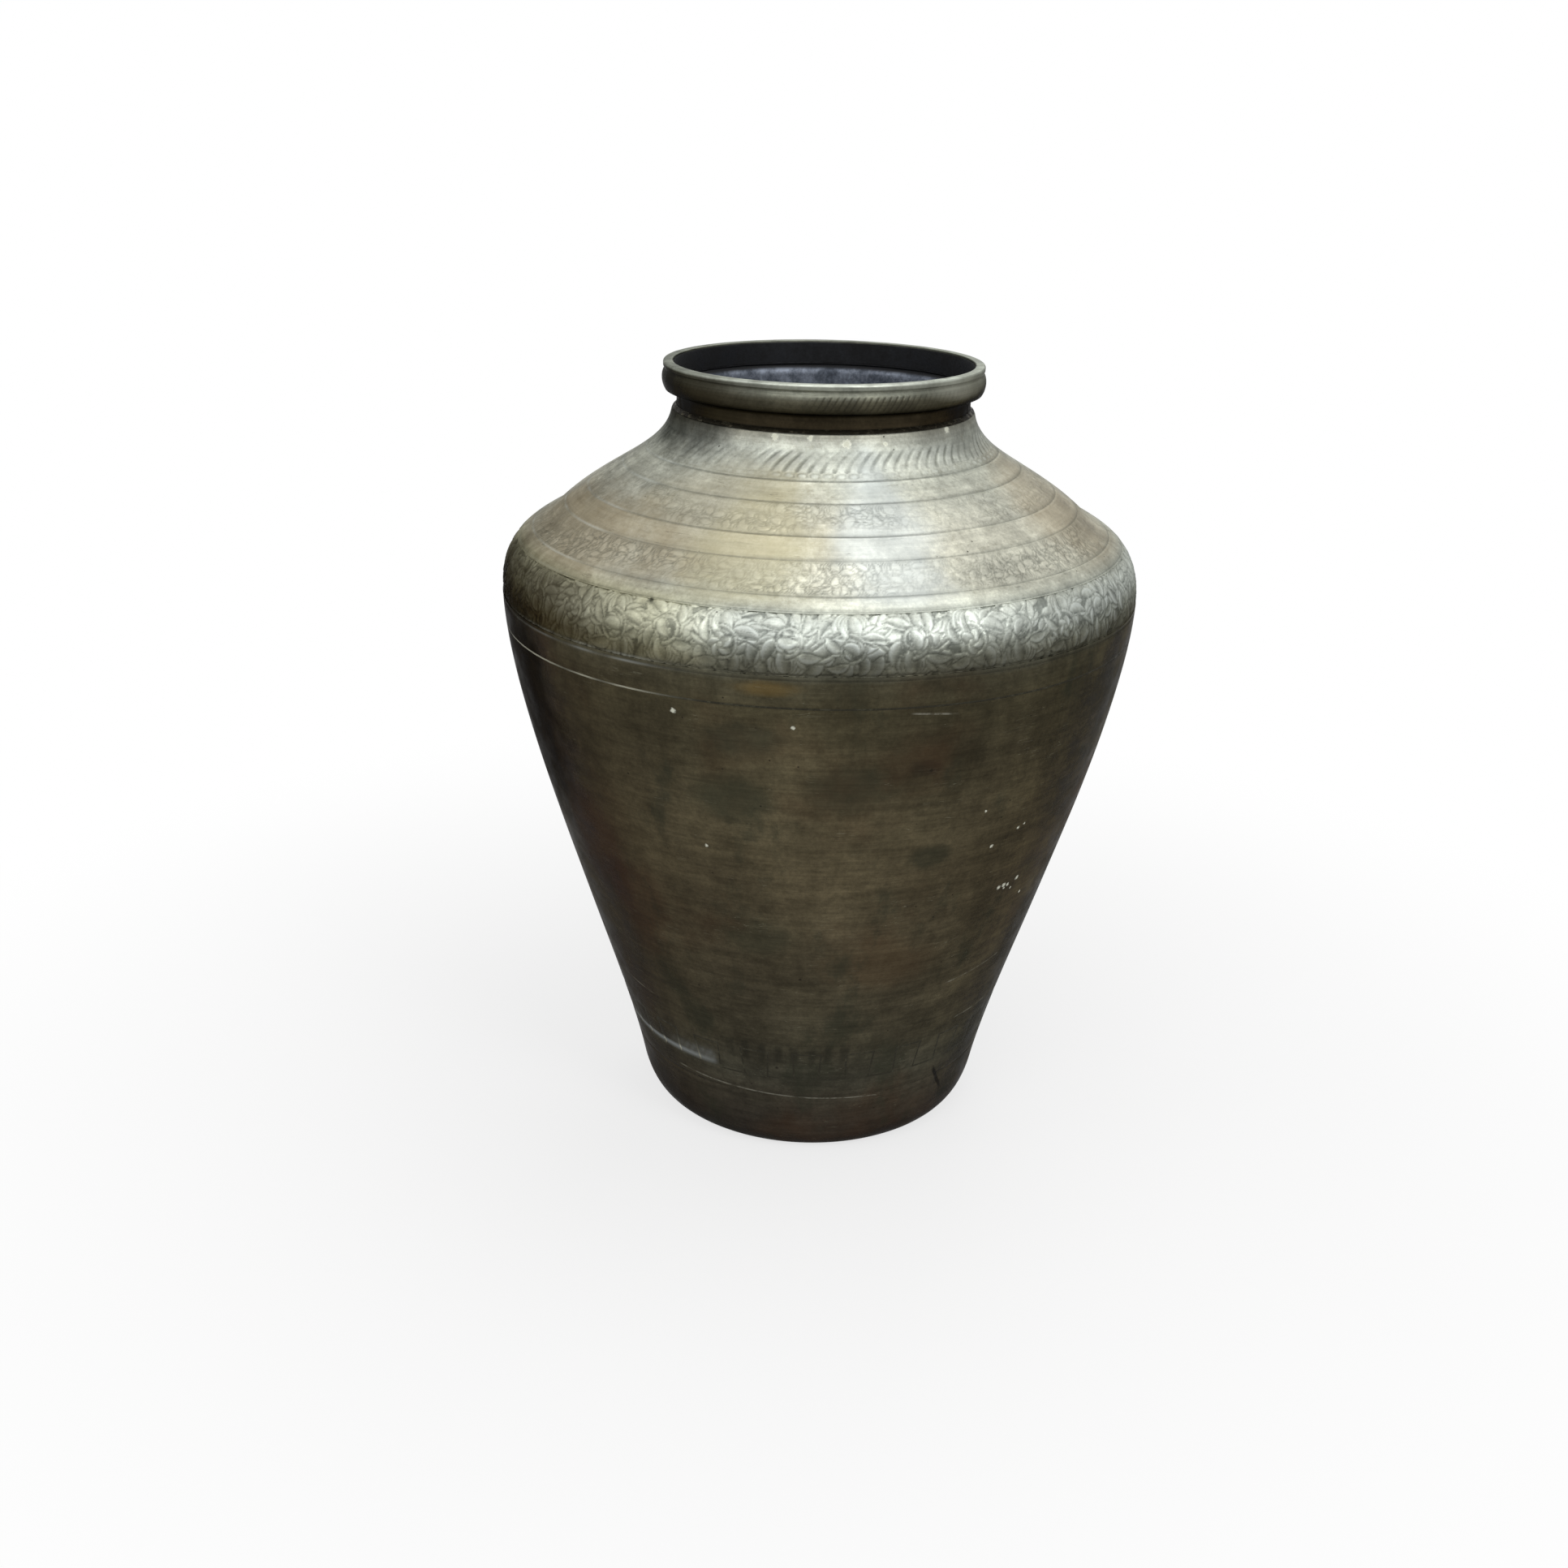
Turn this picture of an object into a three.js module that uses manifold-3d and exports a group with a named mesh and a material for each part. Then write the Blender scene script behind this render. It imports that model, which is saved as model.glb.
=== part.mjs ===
// Engraved brass water urn: a raised base pan, a rolled body wall, a domed shoulder shell, a rolled
// neck collar and a cast rim ring, joined by hard-soldered (spelter) seams.
// Millimetres and degrees. The urn stands on z = 0 and its axis is the z axis.
import * as THREE from "three";
import { mergeVertices } from "three/addons/utils/BufferGeometryUtils.js";
import Module from "manifold-3d";

// Overall height, from the foot to the lip.
const URN_HEIGHT = 470;

// Foot: a flat resting disc with a round corner that runs up into the wall.
const FOOT_FLAT_RADIUS = 87;
const FOOT_ROUND_WIDTH = 22.5;
const FOOT_ROUND_HEIGHT = 27;

// Wall: leans out from the foot and turns upright at the belly, the widest place.
const WALL_LEAN = 11;
const BELLY_RADIUS = 190;

// Shoulder: a tight bend over the belly, then a sweep that hollows in towards the neck.
const BEND_INSET = 32.5;
const BEND_RISE = 43;
const BEND_SLOPE = 43;
const SWEEP_RISE = 59;
const SWEEP_END_LEAN = 8;

// Neck collar: a short band inside the shoulder's opening, turned out at its top to carry the rim.
const COLLAR_RADIUS = 86;
const COLLAR_RISE = 11;
const COLLAR_LAP = 9;
const COLLAR_FLANGE_WIDTH = 5.6;
const COLLAR_BEND_RADIUS = 4;

// Rim ring: a cast ring with a rounded lip, a groove and a swelling band, seated over the flange.
// Its bore stands back from the collar, and its skirt covers the flange's edge.
const RIM_HEIGHT = 16;
const RIM_BORE_SETBACK = 1.4;
const RIM_SKIRT_WIDTH = 0.7;
const RIM_SWELL = 1.7;
const LIP_HEIGHT = 3.4;
const LIP_INSET = 0.8;
const LIP_ROUND = 1.3;
const GROOVE_WIDTH = 1.3;
const GROOVE_DEPTH = 0.6;

// Sheet thicknesses.
const PAN_SHEET = 2;
const WALL_SHEET = 1.6;
const SHOULDER_SHEET = 1.6;
const COLLAR_SHEET = 1.5;

// Seams: the width of the solder in a butt seam, its thickness in a lap, and the fit beside it.
const BUTT_SOLDER = 1.1;
const LAP_SOLDER = 0.6;
const FIT = 0.3;

// Belly seam: how far under the belly the shoulder shell meets the wall.
const BELLY_SEAM_DROP = 21;

// Base seam: dovetail tabs cut in the pan's edge and let into the wall.
const TAB_ROOT_HEIGHT = 60;
const TAB_LENGTH = 20;
const TAB_PITCH = 31;
const TAB_FLARE = 1.5;

// Side seam of the wall: square tabs, up the back of the urn.
const SIDE_TAB_LENGTH = 21;
const SIDE_TAB_DEPTH = 10;
const BACK_AZIMUTH = 90;

// Facets: segments round the axis, and points along each curve of the outline.
const ROUND_SEGMENTS = 48;
const FOOT_STEPS = 4;
const WALL_STEPS = 6;
const BEND_STEPS = 6;
const SWEEP_STEPS = 7;
const RIM_STEPS = 4;

// Widths of the two kinds of slot that the solder fills, and how far a cutter overshoots a sheet.
const BUTT_SLOT = BUTT_SOLDER + 2 * FIT;
const LAP_SLOT = LAP_SOLDER + 2 * FIT;
const OVERSHOOT = 12;

// Heights, stacked down from the lip. The wall takes up what is left above the foot.
const RIM_FOOT_HEIGHT = URN_HEIGHT - RIM_HEIGHT;
const OPENING_HEIGHT = RIM_FOOT_HEIGHT - COLLAR_RISE;
const BEND_HEIGHT = OPENING_HEIGHT - SWEEP_RISE;
const BELLY_HEIGHT = BEND_HEIGHT - BEND_RISE;
const BELLY_SEAM_HEIGHT = BELLY_HEIGHT - BELLY_SEAM_DROP;
const TAB_TIP_HEIGHT = TAB_ROOT_HEIGHT + TAB_LENGTH;

// The shoulder's opening clears the collar by its own sheet and the solder of the lap.
const OPENING_RADIUS = COLLAR_RADIUS + LAP_SLOT + SHOULDER_SHEET;

// The rim ring is fitted to the collar: its bore to the band, its skirt to the flange.
const FLANGE_RADIUS = COLLAR_RADIUS + COLLAR_FLANGE_WIDTH;
const RIM_BORE_RADIUS = COLLAR_RADIUS + RIM_BORE_SETBACK;
const RIM_SKIRT_RADIUS = FLANGE_RADIUS + FIT;
const RIM_CROWN_RADIUS = RIM_SKIRT_RADIUS + RIM_SKIRT_WIDTH + RIM_SWELL;

const wasm = await Module();
wasm.setup();

const radians = THREE.MathUtils.degToRad;
const point = (radius, height) => new THREE.Vector2(radius, height);

// Unit vector that rises and leans outwards by an angle from the vertical, or inwards if negative.
const leaning = (degrees) => point(Math.sin(radians(degrees)), Math.cos(radians(degrees)));

// One curve of the outline from a to b: it leaves and arrives along the given directions, and
// each hold is the share of the chord over which it keeps that direction.
function fairCurve(a, aDirection, aHold, b, bDirection, bHold) {
  const chord = a.distanceTo(b);
  const leave = a.clone().addScaledVector(aDirection, chord * aHold);
  const arrive = b.clone().addScaledVector(bDirection, -chord * bHold);
  return new THREE.CubicBezierCurve(a, leave, arrive, b);
}

// The outer outline of pan, wall and shoulder, from the edge of the flat foot to the opening.
function outlineCurves() {
  const footEdge = point(FOOT_FLAT_RADIUS, 0);
  const wallFoot = point(FOOT_FLAT_RADIUS + FOOT_ROUND_WIDTH, FOOT_ROUND_HEIGHT);
  const belly = point(BELLY_RADIUS, BELLY_HEIGHT);
  const bendEnd = point(BELLY_RADIUS - BEND_INSET, BEND_HEIGHT);
  const opening = point(OPENING_RADIUS, OPENING_HEIGHT);
  const wall = leaning(WALL_LEAN);
  const upright = leaning(0);
  const slope = leaning(BEND_SLOPE - 90);
  const sweepEnd = leaning(-SWEEP_END_LEAN);
  return [
    { curve: fairCurve(footEdge, point(1, 0), 0.4, wallFoot, wall, 0.4), steps: FOOT_STEPS },
    { curve: fairCurve(wallFoot, wall, 0.22, belly, upright, 0.24), steps: WALL_STEPS },
    { curve: fairCurve(belly, upright, 0.58, bendEnd, slope, 0.24), steps: BEND_STEPS },
    { curve: fairCurve(bendEnd, slope, 0.42, opening, sweepEnd, 0.28), steps: SWEEP_STEPS },
  ];
}

const OUTLINE = outlineCurves();

// A station on the outline: its point, and the unit normal that points out of the urn.
function station(curve, t) {
  const tangent = curve.getTangent(t);
  return { at: curve.getPoint(t), out: point(tangent.y, -tangent.x) };
}

// The station at a height, found by halving, as each curve climbs all the way.
function stationAt(height) {
  const { curve } = OUTLINE.find((piece) => piece.curve.v3.y >= height) ?? OUTLINE.at(-1);
  let low = 0;
  let high = 1;
  for (let i = 0; i < 40; i += 1) {
    const middle = (low + high) / 2;
    if (curve.getPoint(middle).y < height) low = middle;
    else high = middle;
  }
  return station(curve, (low + high) / 2);
}

// All stations between two heights, with the two ends, leaving out any that crowd an end.
function stretch(from, to) {
  const crowd = 1.5;
  const between = OUTLINE.flatMap(({ curve, steps }) =>
    Array.from({ length: steps }, (_, i) => station(curve, (i + 1) / steps)),
  ).filter(({ at }) => at.y > from + crowd && at.y < to - crowd);
  return [stationAt(from), ...between, stationAt(to)];
}

const inset = (stations, depth) =>
  stations.map(({ at, out }) => at.clone().addScaledVector(out, -depth));

// The section of a sheet between two depths under the outline, as an open loop of points.
const sheetLoop = (stations, outer, inner) => [
  ...inset(stations, outer),
  ...inset(stations, inner).reverse(),
];

// A closed loop of (radius, height) points turned about the z axis.
const revolve = (loop) =>
  new THREE.LatheGeometry([...loop, loop[0]], ROUND_SEGMENTS).rotateX(Math.PI / 2);

function toSolid(geometry) {
  const bare = geometry.clone();
  bare.deleteAttribute("normal");
  bare.deleteAttribute("uv");
  const merged = mergeVertices(bare, 1e-4);
  const mesh = new wasm.Mesh({
    numProp: 3,
    vertProperties: merged.attributes.position.array,
    triVerts: new Uint32Array(merged.index.array),
  });
  return new wasm.Manifold(mesh);
}

function toGeometry(solid) {
  const { vertProperties, triVerts } = solid.getMesh();
  const geometry = new THREE.BufferGeometry();
  geometry.setAttribute("position", new THREE.BufferAttribute(vertProperties, 3));
  geometry.setIndex(new THREE.BufferAttribute(triVerts, 1));
  geometry.computeVertexNormals();
  return geometry;
}

const joined = (solids) => solids.reduce((whole, next) => whole.add(next));

// An outline drawn in the x-z plane, given depth along y from one value to another.
function plateAlongY(corners, from, to) {
  const shape = new THREE.Shape(corners.map(([x, z]) => point(x, z)));
  const geometry = new THREE.ExtrudeGeometry(shape, { depth: to - from, bevelEnabled: false });
  return geometry.rotateX(Math.PI / 2).translate(0, to, 0);
}

// Everything under the base seam, with its tabs, grown by a margin on every edge.
function belowBaseSeam(margin) {
  const root = stationAt(TAB_ROOT_HEIGHT).at.x;
  const tip = stationAt(TAB_TIP_HEIGHT).at.x;
  const count = Math.round((Math.PI * (root + tip)) / TAB_PITCH);
  const tabWidth = (Math.PI * (root + tip)) / count / 2;
  const atRoot = (tabWidth - TAB_FLARE) / 2 + margin;
  const atTip = (tabWidth + TAB_FLARE) / 2 + margin;
  const top = TAB_TIP_HEIGHT + margin;
  const floor = TAB_ROOT_HEIGHT - OVERSHOOT;
  const corners = [
    [-atRoot, floor],
    [atRoot, floor],
    [atRoot, TAB_ROOT_HEIGHT],
    [atTip, top],
    [-atTip, top],
    [-atRoot, TAB_ROOT_HEIGHT],
  ];
  const tab = plateAlongY(corners, root - OVERSHOOT, tip + OVERSHOOT);
  const height = TAB_ROOT_HEIGHT + margin + OVERSHOOT;
  const disc = new THREE.CylinderGeometry(BELLY_RADIUS, BELLY_RADIUS, height, ROUND_SEGMENTS)
    .rotateX(Math.PI / 2)
    .translate(0, 0, height / 2 - OVERSHOOT);
  const tabs = Array.from({ length: count }, (_, i) =>
    toSolid(tab.clone().rotateZ((2 * Math.PI * i) / count)),
  );
  return joined([toSolid(disc), ...tabs]);
}

// The stepped ribbon of the wall's side seam, half a width to each side of its middle line.
function sideSeam(half) {
  const from = TAB_ROOT_HEIGHT - OVERSHOOT;
  const to = BELLY_SEAM_HEIGHT + OVERSHOOT;
  const count = Math.max(1, Math.round((to - from) / SIDE_TAB_LENGTH));
  const length = (to - from) / count;
  const box = (x0, x1, z0, z1) =>
    toSolid(plateAlongY([[x0, z0], [x1, z0], [x1, z1], [x0, z1]], OVERSHOOT, BELLY_RADIUS + OVERSHOOT));
  const side = (i) => ((i % 2) - 0.5) * SIDE_TAB_DEPTH;
  const runs = Array.from({ length: count }, (_, i) =>
    box(side(i) - half, side(i) + half, from + i * length - half, from + (i + 1) * length + half),
  );
  const steps = Array.from({ length: count - 1 }, (_, i) => {
    const height = from + (i + 1) * length;
    const reach = SIDE_TAB_DEPTH / 2 + half;
    return box(-reach, reach, height - half, height + half);
  });
  return joined([...runs, ...steps]).rotate([0, 0, BACK_AZIMUTH - 90]);
}

// The base pan, the wall and their two seams are cut from sheets that follow one outline.
function lowerBody() {
  const panTop = TAB_TIP_HEIGHT + OVERSHOOT;
  const panSheet = toSolid(
    revolve([point(0, 0), ...sheetLoop(stretch(0, panTop), 0, PAN_SHEET), point(0, PAN_SHEET)]),
  );
  const wallFoot = TAB_ROOT_HEIGHT - OVERSHOOT;
  const wallTop = BELLY_SEAM_HEIGHT - BUTT_SLOT / 2;
  const wallSheet = toSolid(revolve(sheetLoop(stretch(wallFoot, wallTop), 0, WALL_SHEET)));
  const seamSheet = toSolid(
    revolve(sheetLoop(stretch(wallFoot, panTop), 0, Math.min(PAN_SHEET, WALL_SHEET))),
  );

  const slotEdge = BUTT_SLOT / 2;
  const solderEdge = BUTT_SOLDER / 2;
  const wall = wallSheet.subtract(belowBaseSeam(slotEdge));
  return {
    pan: panSheet.intersect(belowBaseSeam(-slotEdge)),
    wall: wall.subtract(sideSeam(slotEdge)),
    baseSolder: seamSheet
      .intersect(belowBaseSeam(solderEdge))
      .subtract(belowBaseSeam(-solderEdge)),
    sideSolder: wall.intersect(sideSeam(solderEdge)),
  };
}

function shoulderShell() {
  const foot = BELLY_SEAM_HEIGHT + BUTT_SLOT / 2;
  return revolve(sheetLoop(stretch(foot, OPENING_HEIGHT), 0, SHOULDER_SHEET));
}

function bellySolder() {
  const half = BUTT_SOLDER / 2;
  const stations = [stationAt(BELLY_SEAM_HEIGHT - half), stationAt(BELLY_SEAM_HEIGHT + half)];
  return revolve(sheetLoop(stations, 0, Math.min(WALL_SHEET, SHOULDER_SHEET)));
}

// Depths under the shoulder's outline at which the lapped collar and its solder lie.
const LAP_DEPTH = SHOULDER_SHEET + LAP_SLOT;
const SOLDER_DEPTH = SHOULDER_SHEET + FIT;

function neckSolder() {
  const stations = stretch(OPENING_HEIGHT - COLLAR_LAP + FIT, OPENING_HEIGHT);
  return revolve(sheetLoop(stations, SOLDER_DEPTH, SOLDER_DEPTH + LAP_SOLDER));
}

// The flange lies flush in the seat under the rim ring, so the seat sets its height.
const FLANGE_FOOT = RIM_FOOT_HEIGHT;
const FLANGE_TOP = FLANGE_FOOT + COLLAR_SHEET;
const SEAT_HEIGHT = FLANGE_TOP + LAP_SLOT;

// The quarter bend between the collar's band and its flange, outer side first.
function collarBend(radius) {
  const centre = point(COLLAR_RADIUS + COLLAR_BEND_RADIUS, FLANGE_FOOT - COLLAR_BEND_RADIUS);
  const steps = 3;
  return Array.from({ length: steps + 1 }, (_, i) => {
    const turn = Math.PI - (i * Math.PI) / 2 / steps;
    return point(centre.x + radius * Math.cos(turn), centre.y + radius * Math.sin(turn));
  });
}

function collarSheet() {
  const lap = stretch(OPENING_HEIGHT - COLLAR_LAP, OPENING_HEIGHT);
  const outside = [
    ...inset(lap, LAP_DEPTH),
    ...collarBend(COLLAR_BEND_RADIUS),
    point(FLANGE_RADIUS, FLANGE_FOOT),
  ];
  const inside = [
    ...inset(lap, LAP_DEPTH + COLLAR_SHEET),
    ...collarBend(COLLAR_BEND_RADIUS + COLLAR_SHEET),
    point(FLANGE_RADIUS, FLANGE_TOP),
  ];
  return toSolid(revolve([...outside, ...inside.reverse()]));
}

// A radial slot through the collar at the back, where the ends of the strip meet.
const collarSlot = (half) =>
  toSolid(
    new THREE.BoxGeometry(2 * half, 2 * FLANGE_RADIUS, 2 * URN_HEIGHT)
      .translate(0, FLANGE_RADIUS, URN_HEIGHT)
      .rotateZ(radians(BACK_AZIMUTH - 90)),
  );

function rimSolder() {
  const foot = FLANGE_TOP + FIT;
  const bore = RIM_BORE_RADIUS + FIT;
  const corners = [
    point(bore, foot),
    point(FLANGE_RADIUS, foot),
    point(FLANGE_RADIUS, foot + LAP_SOLDER),
    point(bore, foot + LAP_SOLDER),
  ];
  return revolve(corners);
}

// The rim's section: seat, skirt, swelling band, groove, rounded lip and bore.
function rimRing() {
  const lipRadius = RIM_CROWN_RADIUS - LIP_INSET;
  const lipFoot = URN_HEIGHT - LIP_HEIGHT;
  const bandTop = lipFoot - GROOVE_WIDTH;
  const grooveRadius = lipRadius - GROOVE_DEPTH;
  const bandFoot = point(RIM_CROWN_RADIUS - RIM_SWELL, RIM_FOOT_HEIGHT);
  const bandHeight = bandTop - RIM_FOOT_HEIGHT;
  const fullness = RIM_CROWN_RADIUS + RIM_SWELL / 3;
  const band = new THREE.CubicBezierCurve(
    bandFoot,
    point(fullness, RIM_FOOT_HEIGHT + bandHeight * 0.3),
    point(fullness, RIM_FOOT_HEIGHT + bandHeight * 0.8),
    point(grooveRadius, bandTop),
  );
  return revolve([
    point(RIM_BORE_RADIUS, SEAT_HEIGHT),
    point(RIM_SKIRT_RADIUS, SEAT_HEIGHT),
    point(RIM_SKIRT_RADIUS, RIM_FOOT_HEIGHT),
    ...band.getPoints(RIM_STEPS),
    point(grooveRadius, lipFoot - GROOVE_WIDTH / 2),
    point(lipRadius, lipFoot),
    point(lipRadius, URN_HEIGHT - LIP_ROUND),
    point(lipRadius - LIP_ROUND, URN_HEIGHT),
    point(RIM_BORE_RADIUS + LIP_ROUND / 2, URN_HEIGHT),
    point(RIM_BORE_RADIUS, URN_HEIGHT - LIP_ROUND / 2),
  ]);
}

const agedBrass = (name, color, roughness) =>
  new THREE.MeshStandardMaterial({ name, color, roughness, metalness: 0.9 });

function part(name, geometry, material) {
  const mesh = new THREE.Mesh(geometry, material);
  mesh.name = name;
  return mesh;
}

function vessel() {
  const dark = agedBrass("brass_dark", 0x4a4434, 0.5);
  const lower = lowerBody();
  const group = new THREE.Group();
  group.add(
    part("base_pan", toGeometry(lower.pan), agedBrass("brass_foot", 0x45423a, 0.55)),
    part("body_wall", toGeometry(lower.wall), dark),
    part("shoulder_shell", shoulderShell(), agedBrass("brass_shoulder", 0xa39d82, 0.35)),
    part("base_seam_solder", toGeometry(lower.baseSolder), agedBrass("spelter", 0x8a7f58, 0.45)),
    part("side_seam_solder", toGeometry(lower.sideSolder), agedBrass("spelter", 0x8a7f58, 0.45)),
    part("belly_seam_solder", bellySolder(), agedBrass("spelter", 0x8a7f58, 0.45)),
  );
  return group;
}

function neck() {
  const collar = collarSheet();
  const group = new THREE.Group();
  group.add(
    part(
      "neck_collar",
      toGeometry(collar.subtract(collarSlot(BUTT_SLOT / 2))),
      agedBrass("brass_neck", 0x3d382d, 0.5),
    ),
    part("rim_ring", rimRing(), agedBrass("brass_rim", 0x6f6a59, 0.35)),
    part(
      "collar_seam_solder",
      toGeometry(collar.intersect(collarSlot(BUTT_SOLDER / 2))),
      agedBrass("spelter", 0x8a7f58, 0.45),
    ),
    part("neck_seam_solder", neckSolder(), agedBrass("spelter", 0x8a7f58, 0.45)),
    part("rim_seam_solder", rimSolder(), agedBrass("spelter", 0x8a7f58, 0.45)),
  );
  return group;
}

const urn = new THREE.Group();
urn.name = "engraved_urn";
urn.add(vessel(), neck());

export default urn;
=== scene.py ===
"""Engraved brass water urn: its finished surfaces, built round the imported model.

Lengths are millimetres and angles are radians until a mesh is made, unless a name says degrees.
Azimuth 0 is the front of the urn, and it grows towards the right of the picture.
"""

import math

import bpy
import numpy as np
from mathutils import Matrix, Vector


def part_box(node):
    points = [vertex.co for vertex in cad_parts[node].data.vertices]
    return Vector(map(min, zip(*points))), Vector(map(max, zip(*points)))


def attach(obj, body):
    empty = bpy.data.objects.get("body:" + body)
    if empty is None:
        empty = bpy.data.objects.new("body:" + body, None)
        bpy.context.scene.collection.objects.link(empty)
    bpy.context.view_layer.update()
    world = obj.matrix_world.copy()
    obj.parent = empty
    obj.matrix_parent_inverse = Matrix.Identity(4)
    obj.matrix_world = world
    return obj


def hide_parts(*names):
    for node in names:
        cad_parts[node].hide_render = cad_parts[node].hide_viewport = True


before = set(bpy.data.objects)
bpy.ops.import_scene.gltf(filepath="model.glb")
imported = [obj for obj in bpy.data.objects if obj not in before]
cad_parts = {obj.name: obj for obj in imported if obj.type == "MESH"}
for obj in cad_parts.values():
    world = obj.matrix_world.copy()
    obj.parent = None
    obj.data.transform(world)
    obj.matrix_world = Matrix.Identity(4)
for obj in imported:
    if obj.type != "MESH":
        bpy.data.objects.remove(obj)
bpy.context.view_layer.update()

MM = 0.001
TURN = 2 * math.pi


def node_box(node):
    """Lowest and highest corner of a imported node, in millimetres."""
    return [np.array(corner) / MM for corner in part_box(node)]


# Main sizes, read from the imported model.
(_, _, RIM_FOOT), (_, _, URN_HEIGHT) = node_box("rim_ring")
_, (BELLY_RADIUS, _, OPENING_HEIGHT) = node_box("shoulder_shell")
(_, _, COLLAR_FOOT), (FLANGE_RADIUS, _, FLANGE_TOP) = node_box("neck_collar")

# Outline of pan, wall and shoulder: leans are degrees from upright, holds are shares of a chord.
FOOT_RADIUS = 87.0
WALL_FOOT = (109.5, 27.0)
WALL_LEAN = 11.0
BELLY_HEIGHT = OPENING_HEIGHT - 102.0
BEND_END = (BELLY_RADIUS - 32.5, OPENING_HEIGHT - 59.0)
BEND_LEAN = -47.0
OPENING_RADIUS = 88.8
OPENING_LEAN = -8.0
CURVE_STEPS = 400

# Sheets and seams.
PAN_SHEET = 2.0
WALL_SHEET = 1.6
COLLAR_SHEET = 1.5
SOLDER_HALF = 0.55
TAB_COUNT = 24
TAB_ROOT = 60.0
TAB_TIP = 80.0
TAB_ROOT_HALF = 7.15
TAB_TIP_HALF = 8.65
SIDE_SEAM_HALF = 5.0
SIDE_SEAM_START = 48.0
SIDE_SEAM_RUNS = 14
SIDE_SEAM_END = 332.0
SIDE_SEAM_RUN = (SIDE_SEAM_END - SIDE_SEAM_START) / SIDE_SEAM_RUNS
BELLY_SEAM = 320.0

# Heights on the shoulder: edges of the bands, and engraved circles.
BAND_FOOT = 337.6
BAND_TOP = 368.4
LINE_LOW = 375.3
LINE_MIDDLE = 388.9
LINE_HIGH = 398.1
LINE_UPPER = 411.7
HATCH_FOOT = 420.0

# Depths of the engraving and the dents, and half the width of a circle.
OUTLINE_DEPTH = 0.16
PILLOW_DEPTH = 0.14
GROUND_DEPTH = 0.15
VEIN_DEPTH = 0.12
SLOPE_DEPTH = 0.6
CIRCLE_DEPTH = 0.32
CIRCLE_HALF = 1.05
HATCH_DEPTH = 0.38
BEAD_DEPTH = 0.2
DEEPEST = 1.2
SEAM_CREASE = 0.14
DENT_DEPTH = 0.3

# Strokes and beads under the neck.
HATCH_COUNT = 90
HATCH_LOW = 424.2
HATCH_HIGH = 434.2
HATCH_RADIUS = 103.0
BEAD_HEIGHT = 422.8

# Distance to an outline where none is near, and as far round a figure as distances are worked out.
FAR = 9.0
OUTLINE_REACH = 2.2

SHARP_ANGLE = math.radians(60)
BEAD_COLUMNS = 960
COLLAR_COLUMNS = 480


def bezier(start, leave, arrive, end, steps):
    """Points of a cubic curve."""
    a, b, c, d = (np.array(point) for point in (start, leave, arrive, end))
    t = np.linspace(0, 1, steps)[:, None]
    return (1 - t) ** 3 * a + 3 * (1 - t) ** 2 * t * b + 3 * (1 - t) * t**2 * c + t**3 * d


def fair_curve(start, start_lean, start_hold, end, end_lean, end_hold):
    """One curve of the outline, leaving and arriving at the given leans."""
    start, end = np.array(start), np.array(end)
    chord = np.linalg.norm(end - start)

    def way(lean):
        return chord * np.array((math.sin(math.radians(lean)), math.cos(math.radians(lean))))

    leave, arrive = start + way(start_lean) * start_hold, end - way(end_lean) * end_hold
    return bezier(start, leave, arrive, end, CURVE_STEPS)


def master_outline():
    """Radius, height, arc length and outward normal along the outer surface."""
    belly, opening = (BELLY_RADIUS, BELLY_HEIGHT), (OPENING_RADIUS, OPENING_HEIGHT)
    curves = [
        fair_curve((FOOT_RADIUS, 0.0), 90, 0.4, WALL_FOOT, WALL_LEAN, 0.4),
        fair_curve(WALL_FOOT, WALL_LEAN, 0.22, belly, 0, 0.24)[1:],
        fair_curve(belly, 0, 0.58, BEND_END, BEND_LEAN, 0.24)[1:],
        fair_curve(BEND_END, BEND_LEAN, 0.42, opening, OPENING_LEAN, 0.28)[1:],
    ]
    points = np.vstack(curves)
    arc = np.concatenate([[0], np.cumsum(np.hypot(*np.diff(points, axis=0).T))])
    tangent = np.gradient(points, arc, axis=0)
    tangent /= np.linalg.norm(tangent, axis=1)[:, None]
    return points[:, 0], points[:, 1], arc, tangent[:, 1], -tangent[:, 0]


OUT_R, OUT_Z, OUT_S, OUT_NR, OUT_NZ = master_outline()


def arc_at(height):
    return np.interp(height, OUT_Z, OUT_S)


def radius_at(height):
    return np.interp(height, OUT_Z, OUT_R)


def along(arc, depth=0.0):
    """Radius, height and normal at arc lengths, at a depth under the outer surface."""
    r, z, nr, nz = (np.interp(arc, OUT_S, table) for table in (OUT_R, OUT_Z, OUT_NR, OUT_NZ))
    return np.stack([r - nr * depth, z - nz * depth, nr, nz], axis=-1)


def surface_point(degrees, height):
    """The point of the outer surface at an azimuth in degrees and a height."""
    r, turned = radius_at(height), math.radians(degrees)
    return (r * math.sin(turned), -r * math.cos(turned), height)


def smooth(value, low, high):
    """From nothing at low to one at high, with soft ends."""
    t = np.clip((value - low) / (high - low), 0, 1)
    return t * t * (3 - 2 * t)


def window(value, rise_start, rise_end, fall_start, fall_end):
    """From nothing up to one, and back down to nothing."""
    return smooth(value, rise_start, rise_end) * smooth(value, fall_end, fall_start)


def highest(*fields):
    return np.max(np.broadcast_arrays(*fields), axis=0)


def column_azimuths(columns):
    return np.arange(columns)[None, :] * TURN / columns


def signed_degrees(azimuths):
    """Azimuths in degrees, from -180 to 180."""
    return (np.degrees(azimuths) + 180) % 360 - 180


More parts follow.
